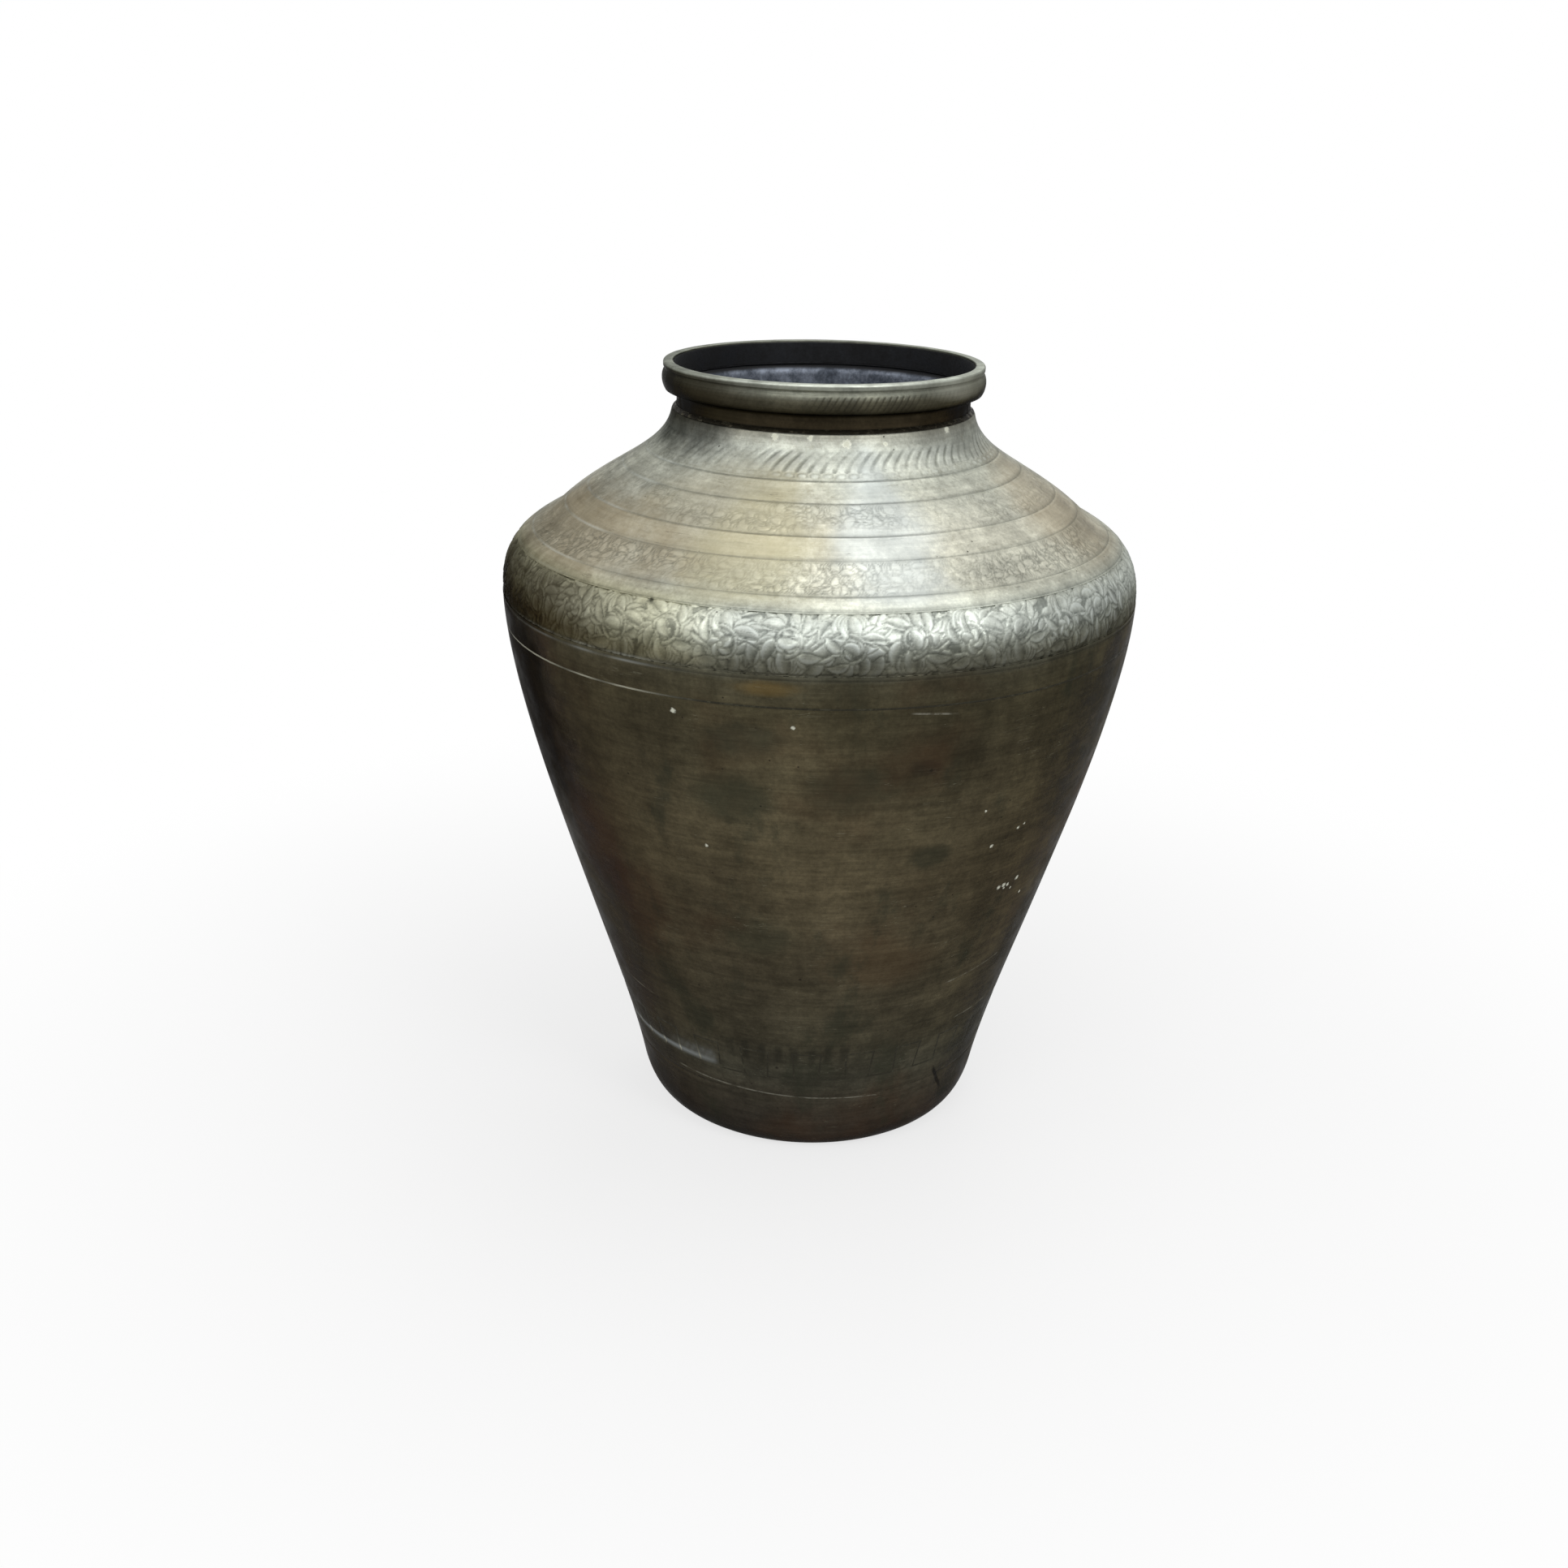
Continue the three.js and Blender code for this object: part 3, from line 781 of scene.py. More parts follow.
def aged_brass():
    """The one old brass of pan, wall and shoulder, patterned in the round so that seams don't show."""
    s = Shading("aged_brass", 0.84, 0.3)
    wander = s.calc("SUBTRACT", s.noise(0.02, 3), 0.5)
    s.by_height(s.calc("MULTIPLY_ADD", wander, 9, s.height), BRASS_BY_HEIGHT)
    low = s.between(s.height, 345, 330)
    high = s.between(s.height, 366, 376)

    for cloud in BRASS_CLOUDS:
        s.shade(s.patchy(*cloud))
    s.change(low, s.patchy((1, 7, 0.68, (0.03, 0.03, 0.16), 17), 0.3, 0.7, -0.2, 0.2))
    soil = s.patchy((0.2, 9, 0.78, None, 61), 0.5, 0.66)
    s.tint(s.times(soil, high), 0.3, (112, 108, 88))

    # Patina that differs from side to side, and a painted cool highlight on the shoulder's front right.
    for table, where in ((SHOULDER_PATINA_AND_HIGHLIGHT, high), (WALL_PATINA, low)):
        for *place, amount, tint in table:
            s.tint(s.times(s.region(*place), where), amount, tint)
    # Lighter and darker places, some of them painted shade and sheen.
    for *place, amount in TONES_AND_PAINTED_LIGHT:
        s.change(s.region(*place), amount)
    # Painted light: the front of the wall is made lighter.
    s.change(s.times(s.region(0, 26, 205, 150), low), 0.26)
    for *stain, amount, tint in WALL_STAINS:
        s.tint(s.times(s.patchy(*stain), low), amount, tint)
    s.tint(s.region(-8.2, 6.5, 330, 6, 1.6), 0.32, (118, 94, 46))

    # Marks of turning, hairlines, scratches and pits.
    turning = s.noise(1, 5, 0.6, (0.01, 0.01, 0.55), 5)
    s.shade(s.between(turning, 0.3, 0.7, 0.91, 1.09))
    broken = s.patchy((0.05, 3, 0.6, None, 19), 0.54, 0.66)
    hairline = s.lines((1, 3, 0.5, (0.018, 0.018, 0.3), 11), 0.5, 0.006)
    s.tint(s.times(hairline, broken), 0.3, (150, 148, 128))
    scratch = s.lines((1, 3, 0.5, (0.014, 0.014, 0.34), 71), 0.47, 0.007)
    s.tint(s.times(scratch, s.between(broken, 0, 1, 0.35)), 0.4, (30, 28, 20))
    cell = s.add("TexVoronoi", {"Vector": s.place, "Scale": 0.11}).outputs
    pit = s.times(s.between(cell["Distance"], 0.035, 0.075, 1, 0), s.between(cell["Color"], 0.66, 0.7))
    pit = s.calc("MAXIMUM", pit, s.spots(PITS))
    s.tint(pit, 0.75, (34, 30, 24))

    # What the mesh marks: polish and painted highlight, in a pale colour that grows paler up the scroll
    # band;
    # grime and painted shade, in a colour that is darker towards the band's foot.
    shine = s.mix(s.between(s.height, 335, 365), srgb(172, 178, 178), srgb(208, 215, 210))
    s.colour = s.mix(s.times(s.mark("polish_and_highlight"), 0.62), s.colour, shine)
    grime_and_shade = s.mark("grime_and_shade")
    patchiness = s.patchy((0.35, 6, 0.7), 0.2, 0.6, 0.55)
    deep = s.mix(s.between(s.height, 343, 362), srgb(34, 34, 28), srgb(70, 77, 74))
    s.colour = s.mix(s.times(grime_and_shade, patchiness), s.colour, deep)

    # Painted shade on the left side, strongest on the scroll band, and darker painted shade in a patch on
    # the upper wall; the metal is made barer there, and the scroll band is also warmer on the left.
    left = s.window(s.azimuth, -168, -122, -51, -20)
    amount = s.between(s.height, 376, 362, 0.06, 0.78)
    amount = s.calc("SUBTRACT", amount, s.between(s.height, 345, 335, 0, 0.4))
    s.tint(left, amount, (46, 37, 24))
    warm_side = s.window(s.azimuth, -168, -122, -30, -10)
    warm_side = s.times(warm_side, s.window(s.height, 334, 342, 368, 376))
    s.colour = s.mix(warm_side, s.colour, s.vector("MULTIPLY", s.colour, (1.04, 0.98, 0.8)))
    left_wall_shade = s.region(-72, 24, 285, 95)
    s.tint(left_wall_shade, 0.75, (26, 21, 15))
    bare_metal = s.calc("MAXIMUM", left_wall_shade, s.times(left, s.between(s.height, 330, 340)))
    s.put(s.shader.inputs["Metallic"], s.between(bare_metal, 0, 1, 0.84, 0.97))
    # Painted shade on the shoulder's left side just under the neck.
    s.change(s.region(-66, 40, 444, 24), -0.72)

    s.tint(s.streaks(PALE_STREAKS), 0.45, (146, 144, 132))
    s.tint(s.streaks(NICK, 0.8), 0.9, (22, 17, 12))
    specks = s.spots(PAINT_SPECKS, 0.42)
    s.tint(specks, 0.82, (218, 219, 204))
    roughness = s.patchy((0.06, 6, 0.6, None, 41), 0.3, 0.7, 0.36, 0.52)
    roughness = s.calc("MULTIPLY_ADD", grime_and_shade, 0.2, roughness)
    roughness = s.calc("MAXIMUM", roughness, s.times(specks, 0.75))
    grain, pitted = s.noise(0.5, 6, 0.7), s.times(pit, -1)
    return s.finish(roughness, (turning, 0.08, 0.6), (grain, 0.12, 0.5), (pitted, 0.25, 0.8))


def dark_brass(name, by_height, edge, specular):
    """Brass of the neck or rim, coloured by height, with painted shade on its left side and a painted
    sheen on the rim's right.
    """
    s = Shading(name, 0.92, specular)
    s.by_height(s.height, by_height)
    s.shade(s.patchy((0.045, 6, 0.65), 0.3, 0.7, 0.7, 1.28))
    s.shade(s.patchy((0.5, 6, 0.7), 0.25, 0.75, 0.82, 1.18))
    # Painted shade on the left side, all but gone on the lip's top.
    left = s.window(s.azimuth, -178, -130, -42, -12)
    left = s.times(left, s.between(s.height, 469, 467.8, 0.12))
    s.tint(left, 0.85, (38, 34, 24))
    # Painted sheen on the rim's right side.
    s.tint(s.region(60, 22, 463.5, 7, 0.5), 0.42, (150, 150, 138))
    turning = s.noise(1, 4, 0.55, (0.02, 0.02, 1.2))
    s.shade(s.between(turning, 0.3, 0.7, 0.9, 1.1))
    # The pale edge colour goes where the mesh marks polish and painted highlight, less on the shaded
    # left.
    rubbed = s.patchy((0.09, 5, 0.6, None, 13), 0.3, 0.65, 0.5)
    rubbed = s.times(rubbed, s.calc("MULTIPLY_ADD", left, -0.85, 1))
    s.tint(s.mark("polish_and_highlight"), rubbed, edge)
    # Grime in the strokes and the groove, and painted shade where the mesh marks it.
    s.tint(s.mark("grime_and_shade"), 0.85, (24, 22, 18))
    roughness = s.patchy((0.12, 5, 0.6, None, 23), 0.3, 0.7, 0.3, 0.5)
    return s.finish(roughness, (turning, 0.08, 0.6), (s.noise(0.8, 5, 0.7), 0.1, 0.5))


def tinned_inside(name, clean, dirt, shadow_above=2 * URN_HEIGHT):
    """Old tin lining: blue-grey, blotched and dull, and near black above a height as painted shadow."""
    s = Shading(name, 0.55)
    blotches = s.patchy((0.05, 7, 0.68), 0.35, 0.65)
    s.colour = s.mix(blotches, srgb(*dirt), srgb(*clean))
    s.shade(s.patchy((0.4, 6, 0.7), 0.25, 0.75, 0.8, 1.2))
    s.tint(s.between(s.height, shadow_above - 1.2, shadow_above + 1), 1, (14, 15, 18))
    return s.finish(s.between(blotches, 0, 1, 0.7, 0.5), (s.noise(0.3, 6, 0.7), 0.25, 0.6))


def spelter(name, dark, pale):
    """Hard solder: a yellower, lumpier metal than the sheet beside it."""
    s = Shading(name, 0.8, 0.42)
    lumps = s.noise(0.22, 6, 0.6)
    s.colour = s.mix(s.between(lumps, 0.5, 0.66), srgb(*dark), srgb(*pale))
    s.shade(s.patchy((0.9, 5, 0.7), 0.25, 0.75, 0.8, 1.2))
    # Pale where the mesh marks polish and painted highlight.
    s.tint(s.mark("polish_and_highlight"), 1, (176, 174, 156))
    return s.finish(s.between(lumps, 0.3, 0.7, 0.55, 0.35), (s.noise(0.7, 6, 0.7), 0.3, 0.7))


AGED = aged_brass()
TIN = tinned_inside("tinned_inside", (150, 156, 172), (92, 98, 112))
# Inside the neck, painted shadow under the rim's bore.
NECK_TIN = tinned_inside("tinned_neck", (122, 129, 141), (66, 72, 82), shadow_above=453.2)
# The rim's bore, near black: painted shadow.
BORE_SHADOW = tinned_inside("bore_in_painted_shadow", (22, 24, 28), (8, 9, 11))
NECK_BRASS = dark_brass("neck_brass", NECK_BY_HEIGHT, (78, 72, 58), 0.1)
RIM_BRASS = dark_brass("rim_brass", RIM_BY_HEIGHT, (192, 197, 186), 0.25)
WALL_SPELTER = spelter("wall_spelter", (48, 46, 37), (62, 60, 48))
NECK_SPELTER = spelter("neck_spelter", (38, 35, 27), (84, 80, 66))


# The pieces of the urn.


def keep(piece, slot, node):
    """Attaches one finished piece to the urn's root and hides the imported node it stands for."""
    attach(piece, "root")
    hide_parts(node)


def inner_rows(arcs, spacing=6.0):
    """The inside of the wall's sheet from the last arc length back down to the first."""
    count = max(2, int((arcs[-1] - arcs[0]) / spacing) + 1)
    return along(np.linspace(arcs[-1], arcs[0], count), WALL_SHEET)


def shoulder_band(name, low, high, columns, spacing, engrave, *circles):
    """One band of the shoulder, with its circles and its engraving as true relief."""
    centres = [arc_at(circle) for circle in circles]
    arcs = spaced(arc_at(low), arc_at(high), spacing, centres, 0.5)
    azimuths = column_azimuths(columns)
    lift = DENT_DEPTH * waviness(azimuths, arcs[:, None])
    depth, grime_and_shade, polish_and_highlight = engrave(arcs, azimuths) if engrave else (0 * lift, 0 * lift, 0 * lift)
    lift = lift - depth
    for centre, circle in zip(centres, circles):
        groove = circle_groove(arcs, centre)
        rubbed = rubbed_side(azimuths, -24 if circle < BAND_TOP - 5 else -48)
        lift = lift - CIRCLE_DEPTH * groove
        soft = smooth(np.abs(arcs - centre), 3.2, 0.4)[:, None]
        soft = soft * np.clip(0.7 + 0.5 * band_noise(arcs, azimuths, int(circle)), 0, 1)
        grime_and_shade = highest(grime_and_shade, 0.5 * groove * (1 - rubbed), 0.26 * soft * (1 - rubbed))
        polish_and_highlight = np.maximum(polish_and_highlight * (1 - groove), 0.6 * groove * rubbed)
    marks = {"grime_and_shade": grime_and_shade, "polish_and_highlight": polish_and_highlight}
    lift = np.maximum(lift, -DEEPEST)
    piece = ring(name, along(arcs), columns, [AGED, TIN], lift, marks, inner_rows(arcs))
    keep(piece, "brass_shoulder", "shoulder_shell")


def scroll_engraving(arcs, azimuths):
    """The main band: overlapping leaves, volutes and flowers, each chased round its outline."""
    relief = Relief(arcs, azimuths.size, seed=21)
    relief.foliage(arcs[0] + 0.8, arcs[-1] - 0.8, periods=18)
    edge = relief.edge
    outline = smooth(edge, 0.7, 0.1)
    pillow = 1 - smooth(edge, 0.0, 1.4)
    bare = 1.0 * ~relief.cover
    vein = np.clip(1 - relief.vein / 0.5, 0, 1) * smooth(edge, 0.6, 1.4)
    sunk = 0.5 - 0.5 * relief.slope
    worn = 0.45 + 0.55 * smooth(band_noise(arcs, azimuths, 8), -0.7, 0.6)
    rising = 0.2 + 0.8 * smooth(arcs, arc_at(341), arc_at(357))[:, None]
    depth = OUTLINE_DEPTH * outline + PILLOW_DEPTH * pillow + GROUND_DEPTH * bare
    depth = depth + VEIN_DEPTH * vein + SLOPE_DEPTH * sunk
    # Grime in the cut outlines, the bare ground and the veins; painted shade on the sunk side of each
    # leaf.
    shaded_hollow = smooth(sunk, 0.45, 1.0) * (0.5 + 0.5 * (1 - relief.tone))
    grime_and_shade = highest(outline * (0.2 + 0.45 * sunk), 0.6 * bare, 0.2 * vein, 0.75 * shaded_hollow)
    # Polish and painted highlight along each leaf's raised edge, fading towards the band's foot.
    polish_and_highlight = smooth(edge, 0.1, 0.9) * relief.tone * smooth(sunk, 0.7, 0.1) * (1 - vein) * (1 - bare)
    return depth, grime_and_shade, polish_and_highlight * worn * rising


def line_engraving(low, high, seed, periods, line_depth, line_grime):
    """A fainter band between two heights: small foliage drawn as fine lines."""

    def engrave(arcs, azimuths):
        relief = Relief(arcs, azimuths.size, seed)
        foot, top = arc_at(low), arc_at(high)
        relief.foliage(foot + 1.0, top - 1.0, periods)
        inside = window(arcs, foot + 0.4, foot + 1.4, top - 1.4, top - 0.4)[:, None]
        line = np.clip(1 - relief.edge / 0.6, 0, 1)
        worn = smooth(band_noise(arcs, azimuths, seed), -0.7, 0.6)
        cut = line * inside * (0.3 + 0.7 * worn)
        return line_depth * cut, line_grime * cut, 0.12 * relief.tone * (1 - line) * inside

    return engrave


def hatch_engraving(arcs, azimuths):
    """Slanted gadroon strokes under the neck, each ridge ending in a round bead."""
    low, high = arc_at(HATCH_LOW), arc_at(HATCH_HIGH)
    rise = ((arcs - low) / (high - low))[:, None]
    turns = azimuths * HATCH_COUNT / TURN
    phase = turns - 1.35 * np.clip(rise, 0, 1.2) ** 1.7
    stroke = smooth(np.abs((phase % 1) - 0.5), 0.2, 0.47)
    envelope = window(rise, -0.05, 0.1, 0.8, 1.15)
    degrees = signed_degrees(azimuths)
    clear = 0.5 + 0.5 * smooth(degrees, -36, -14) + 0.5 * smooth(degrees, -60, -90)
    worn = (0.4 + 0.6 * smooth(band_noise(arcs, azimuths, 5), -0.6, 0.4)) * clear
    stroke = stroke * envelope * worn
    across = ((turns % 1) - 0.5) * TURN * HATCH_RADIUS / HATCH_COUNT
    bead = np.hypot(across / 2.5, (arcs - arc_at(BEAD_HEIGHT))[:, None] / 1.6)
    rim = np.clip(1 - np.abs(bead - 1.1) / 0.4, 0, 1) * worn
    depth = HATCH_DEPTH * stroke + BEAD_DEPTH * rim
    # The last two rows round off the edge at the opening.
    depth[-2:] += np.array((0.15, 0.6))[:, None]
    ridge = np.maximum(0.3 * envelope * (1 - stroke), 0.4 * smooth(bead, 1.0, 0.4))
    return depth, 0.42 * np.maximum(stroke, 0.55 * rim), ridge * worn


def make_shoulder():
    upper = line_engraving(LINE_HIGH, LINE_UPPER, seed=31, periods=26, line_depth=0.16, line_grime=0.36)
    lower = line_engraving(LINE_LOW, LINE_MIDDLE, seed=41, periods=30, line_depth=0.24, line_grime=0.55)
    strip_foot = BELLY_SEAM + SOLDER_HALF
    # Name, foot, top, columns, spacing of the rows, engraving and circles.
    bands = (
        (
            "shoulder_hatch_band", HATCH_FOOT, OPENING_HEIGHT, HATCH_COUNT * 12, 0.6,
            hatch_engraving, HATCH_FOOT + 0.9,
        ),
        ("shoulder_upper_band", LINE_HIGH, HATCH_FOOT, 1152, 0.72, upper, LINE_HIGH + 0.8, LINE_UPPER),
        (
            "shoulder_lower_band", BAND_TOP, LINE_HIGH, 1344, 0.84,
            lower, BAND_TOP + 0.8, LINE_LOW, LINE_MIDDLE,
        ),
        ("shoulder_scroll_band", BAND_FOOT, BAND_TOP, 1500, 0.62, scroll_engraving, BAND_FOOT + 0.7),
        ("shoulder_belly_strip", strip_foot, BAND_FOOT, 720, 1.1, None, BAND_FOOT - 2.2),
    )
    for band in bands:
        shoulder_band(*band)


def make_belly_seam():
    arcs = np.linspace(arc_at(BELLY_SEAM - SOLDER_HALF), arc_at(BELLY_SEAM + SOLDER_HALF), 5)
    azimuths = column_azimuths(BEAD_COLUMNS)
    lift = DENT_DEPTH * waviness(azimuths, arcs[:, None])
    lift = lift - 0.12 * (1 + np.sin(97 * azimuths) * np.sin(31 * azimuths + 1)) / 2
    marks = {"polish_and_highlight": 0.6 * rubbed_side(azimuths, -24)}
    inner = inner_rows(arcs, 0.6)
    piece = ring("belly_seam_bead", along(arcs), BEAD_COLUMNS, [WALL_SPELTER, TIN], lift, marks, inner)
    keep(piece, "spelter", "belly_seam_solder")


# The lower body: pan, wall and their solders are cut from one grid, so their edges meet.

BACK_PLACES = (0.0, 2.2, SIDE_SEAM_HALF - SOLDER_HALF, SIDE_SEAM_HALF + SOLDER_HALF)
TAB_SHARES = (0, 0.27, 0.53, 0.78)
TAB_ROWS = (62.0, 63.6, 66.5, 70, 73.5, 77)
FOOT_DISC_ROWS = (0.0, 6.0, 22.0, 42.0, 60.0, 74.0, 82.0)
S_LINE = 45.0
# Dents of the foot, and the painted highlight along the edge over the crease:
# azimuth degrees, height, width and rise.
CREASE = (-49, 62, 44, 1.8)
CREASE_HIGHLIGHT = (-51, 63.2, 42, 1.5)
NICK_DENT = (47, 41, 2.4, 8)

PAN, BASE_SOLDER, WALL, SIDE_SOLDER = range(4)


def body_columns(heights):
    """Azimuth of every column at every height, and what each cell between two columns crosses."""
    pitch = TURN / TAB_COUNT
    clipped = np.clip(heights, TAB_ROOT, TAB_TIP)
    half = np.interp(clipped, (TAB_ROOT, TAB_TIP), (TAB_ROOT_HALF, TAB_TIP_HALF)) / radius_at(clipped)
    solder = SOLDER_HALF / radius_at(clipped)
    radius = np.maximum(radius_at(heights), FOOT_RADIUS)
    plain = [(half - solder) * share for share in TAB_SHARES]
    seam = [place / radius for place in BACK_PLACES]
    last = half + solder
    rest = [half - solder, last] + [last + (pitch / 2 - last) * share for share in (0.33, 0.67)]
    columns = []
    for tab in range(TAB_COUNT):
        right = (seam if tab == 0 else plain) + rest
        left = [0 * half - pitch / 2] + [-place for place in right[:0:-1]]
        columns += [math.pi + tab * pitch + place for place in left + right]
    side = ["gap", "gap", "gap", "edge"] + ["tab"] * len(TAB_SHARES)
    return np.array(columns).T, np.array((side + side[::-1]) * TAB_COUNT)


def body_rows():
    """Heights of the grid's rows, with rows on every seam, and of the side seam's steps."""
    foot = spaced(0, arc_at(TAB_ROOT - SOLDER_HALF), 2.6, [arc_at(S_LINE)], 0.55)
    tabs = [TAB_ROOT + SOLDER_HALF, *TAB_ROWS, TAB_TIP - SOLDER_HALF, TAB_TIP + SOLDER_HALF]
    steps = SIDE_SEAM_START + SIDE_SEAM_RUN * np.arange(2, SIDE_SEAM_RUNS)
    wall = [84.5]
    for step in steps:
        wall += [step - SOLDER_HALF, step + SOLDER_HALF]
        free = (SIDE_SEAM_RUN - 2 * SOLDER_HALF) * np.array((0.2, 0.4, 0.6, 0.8))
        wall += list(step + SOLDER_HALF + free)
    top = BELLY_SEAM - SOLDER_HALF
    wall = [height for height in wall if height < top - 1]
    return np.concatenate([np.interp(foot, OUT_S, OUT_Z), tabs, wall, [top]]), steps


def body_labels(heights, kinds, steps):
    """Which piece each cell of the grid belongs to."""
    middle = (heights[1:] + heights[:-1])[:, None] / 2
    labels = np.full((len(heights) - 1, len(kinds)), WALL)
    labels[middle < np.where(kinds == "gap", TAB_ROOT, TAB_TIP) + SOLDER_HALF] = BASE_SOLDER
    labels[middle < np.where(kinds == "tab", TAB_TIP, TAB_ROOT) - SOLDER_HALF] = PAN

    tab_cells = np.flatnonzero(kinds == "tab")[: 2 * len(BACK_PLACES)]
    left, right = tab_cells[1], tab_cells[-2]
    column = np.arange(len(kinds))
    on_left = (middle - SIDE_SEAM_START) // SIDE_SEAM_RUN % 2 == 1
    on_step = np.abs(middle - steps).min(axis=1, keepdims=True) < SOLDER_HALF
    seam = (column == np.where(on_left, left, right)) | (on_step & (left <= column) & (column <= right))
    labels[seam & (labels == WALL)] = SIDE_SOLDER
    return labels


def seam_corners(labels):
    """Where the corner of a cell touches more than one piece."""
    padded = np.vstack([labels[:1], labels, labels[-1:]])
    beside = np.roll(padded, 1, axis=1)
    same = (padded[1:] == padded[:-1]) & (beside[1:] == padded[1:]) & (beside[:-1] == padded[:-1])
    return ~same


def make_lower_body():
    heights, steps = body_rows()
    azimuths, kinds = body_columns(heights)
    labels = body_labels(heights, kinds, steps)
    arcs, climb, degrees = arc_at(heights), heights[:, None], signed_degrees(azimuths)

    # Dents, the marks of wear and dirt, and a painted highlight along the crease's edge
    # with a broader painted sheen above it on the left.
    crease = local_dent(azimuths, climb, *CREASE)
    nick = local_dent(azimuths, climb, *NICK_DENT)
    lift = DENT_DEPTH * waviness(azimuths, arcs[:, None]) * smooth(climb, 1.0, 26.0)
    lift = lift - SEAM_CREASE * seam_corners(labels) - 0.25 * circle_groove(arcs, arc_at(S_LINE), 0.6)
    lift = lift - 0.7 * crease - 0.8 * nick
    tabs = window(climb, 70, 76, 84, 88) * smooth(np.abs(degrees + 4), 22, 17)
    grime_and_shade = 0.5 * tabs * smooth(np.sin(degrees * 1.35), -0.2, 0.4) + 0.2 * nick
    ends = smooth(degrees, -26.5, -29)
    crease_sheen = window(climb, 63, 65, 69, 75) * smooth(degrees, -50, -38) * ends
    crease_sheen = crease_sheen * (0.75 + 0.25 * np.sin(degrees * 2.3) * np.sin(climb * 1.1))
    bright = 1.7 * local_dent(azimuths, climb, *CREASE_HIGHLIGHT) * ends
    polish_and_highlight = np.maximum(bright, 0.32 * crease_sheen)

    # The flat disc under the foot goes before the other rows.
    disc = np.array([(r, 0.0, 0.0, -1.0) for r in FOOT_DISC_ROWS])
    inside_foot = np.array([(r, PAN_SHEET, 0.0, 1.0) for r in (*FOOT_DISC_ROWS, FOOT_RADIUS)])
    before = ((len(disc), 0), (0, 0))
    rows = np.vstack([disc, along(arcs)])
    azimuths = np.pad(azimuths, before, "edge")
    lift = np.pad(lift, before)
    marks = {"grime_and_shade": np.pad(grime_and_shade, before), "polish_and_highlight": np.pad(polish_and_highlight, before)}
    labels = np.pad(labels, before, constant_values=PAN)
    outer = turned_points(rows, azimuths, lift)
    parts = (
        ("raised_base_pan", PAN, PAN_SHEET, "brass_foot", "base_pan", AGED),
        ("base_seam_ribbon", BASE_SOLDER, WALL_SHEET, "spelter", "base_seam_solder", WALL_SPELTER),
        ("rolled_wall", WALL, WALL_SHEET, "brass_wall", "body_wall", AGED),
        ("side_seam_ribbon", SIDE_SOLDER, WALL_SHEET, "spelter", "side_seam_solder", WALL_SPELTER),
    )
    for name, label, thickness, slot, node, material in parts:
        inner = turned_points(rows, azimuths, np.minimum(lift, 0) - thickness)
        if label == PAN:
            foot = len(inside_foot)
            inner[:foot] = turned_points(inside_foot, azimuths[:foot])
        piece = sheet(name, outer, inner, labels == label, [material, TIN], marks, label == PAN)
        keep(piece, slot, node)


# The neck: collar, its seams, and the rim ring.

COLLAR_RADIUS = 86.0
COLLAR_BEND = 4.0
LAP_DEPTH = 2.8
LAP_GAP = 0.08
RIM_STROKES = 159
RIM_BORE = 87.4
SKIRT_RADIUS = 91.9
RIM_CROWN = 94.3
RIM_SWELL = 1.7
LIP_RADIUS = 93.5
LIP_FOOT = URN_HEIGHT - 3.4
LIP_STEPS = 7
GROOVE_RADIUS = 92.9
RIM_BAND_TOP = LIP_FOOT - 1.3
RIM_BAND_STEPS = 21
SEAT_HEIGHT = 456.7
SEAT_GAP = 0.06
# The neck bead's section: radius, and height over the opening.
NECK_BEAD = ((88.3, 0.03), (88.0, 0.5), (87.5, 1.0), (87.0, 1.4), (86.5, 1.75), (86.06, 1.95))


def collar_rows(depth):
    """Rows of the collar from its foot to the flange's edge, at a depth inside its outer face."""
    lap_arcs = np.linspace(arc_at(COLLAR_FOOT + 0.6), arc_at(OPENING_HEIGHT), 9)
    heights = np.linspace(OPENING_HEIGHT + 1.2, RIM_FOOT - COLLAR_BEND - 1, 6)
    band = [(COLLAR_RADIUS - depth, height, 1.0, 0.0) for height in heights]
    turned = np.linspace(math.pi, math.pi / 2, 9)
    c, s = np.cos(turned), np.sin(turned)
    reach = COLLAR_BEND + depth
    centre_r, centre_z = COLLAR_RADIUS + COLLAR_BEND, RIM_FOOT - COLLAR_BEND
    bend = np.stack([centre_r + reach * c, centre_z + reach * s, -c, -s], axis=-1)
    flange = [(FLANGE_RADIUS, RIM_FOOT + depth, 0.0, -1.0)]
    return np.vstack([along(lap_arcs, LAP_DEPTH + depth), band, bend, flange])


def make_collar():
    rows = collar_rows(0.0)
    heights = rows[:, 1:2]
    azimuths = column_azimuths(COLLAR_COLUMNS) - 0.5 * TURN / COLLAR_COLUMNS
    over, under = heights - OPENING_HEIGHT, heights - RIM_FOOT
    free = smooth(over, 0.5, 3) * smooth(under, 0, -2)
    lift = 0.2 * waviness(azimuths * 3, heights) * free
    # Painted shade in the corner at the collar's foot and under the rim.
    shaded_hollow = np.maximum(smooth(over, 3.2, 0.8), smooth(under, -1.6, -0.2))
    marks = {"grime_and_shade": 0.7 * shaded_hollow + 0 * azimuths}
    outer = turned_points(rows, azimuths, lift)
    inner = turned_points(collar_rows(COLLAR_SHEET), azimuths)
    seam = np.zeros((len(rows) - 1, COLLAR_COLUMNS), dtype=bool)
    seam[:, COLLAR_COLUMNS // 2] = True
    band = sheet("neck_band", outer, inner, ~seam, [NECK_BRASS, NECK_TIN], marks)
    keep(band, "brass_neck", "neck_collar")
    strip = sheet("neck_band_seam", outer, inner, seam, [NECK_SPELTER, NECK_TIN], marks)
    keep(strip, "spelter", "collar_seam_solder")


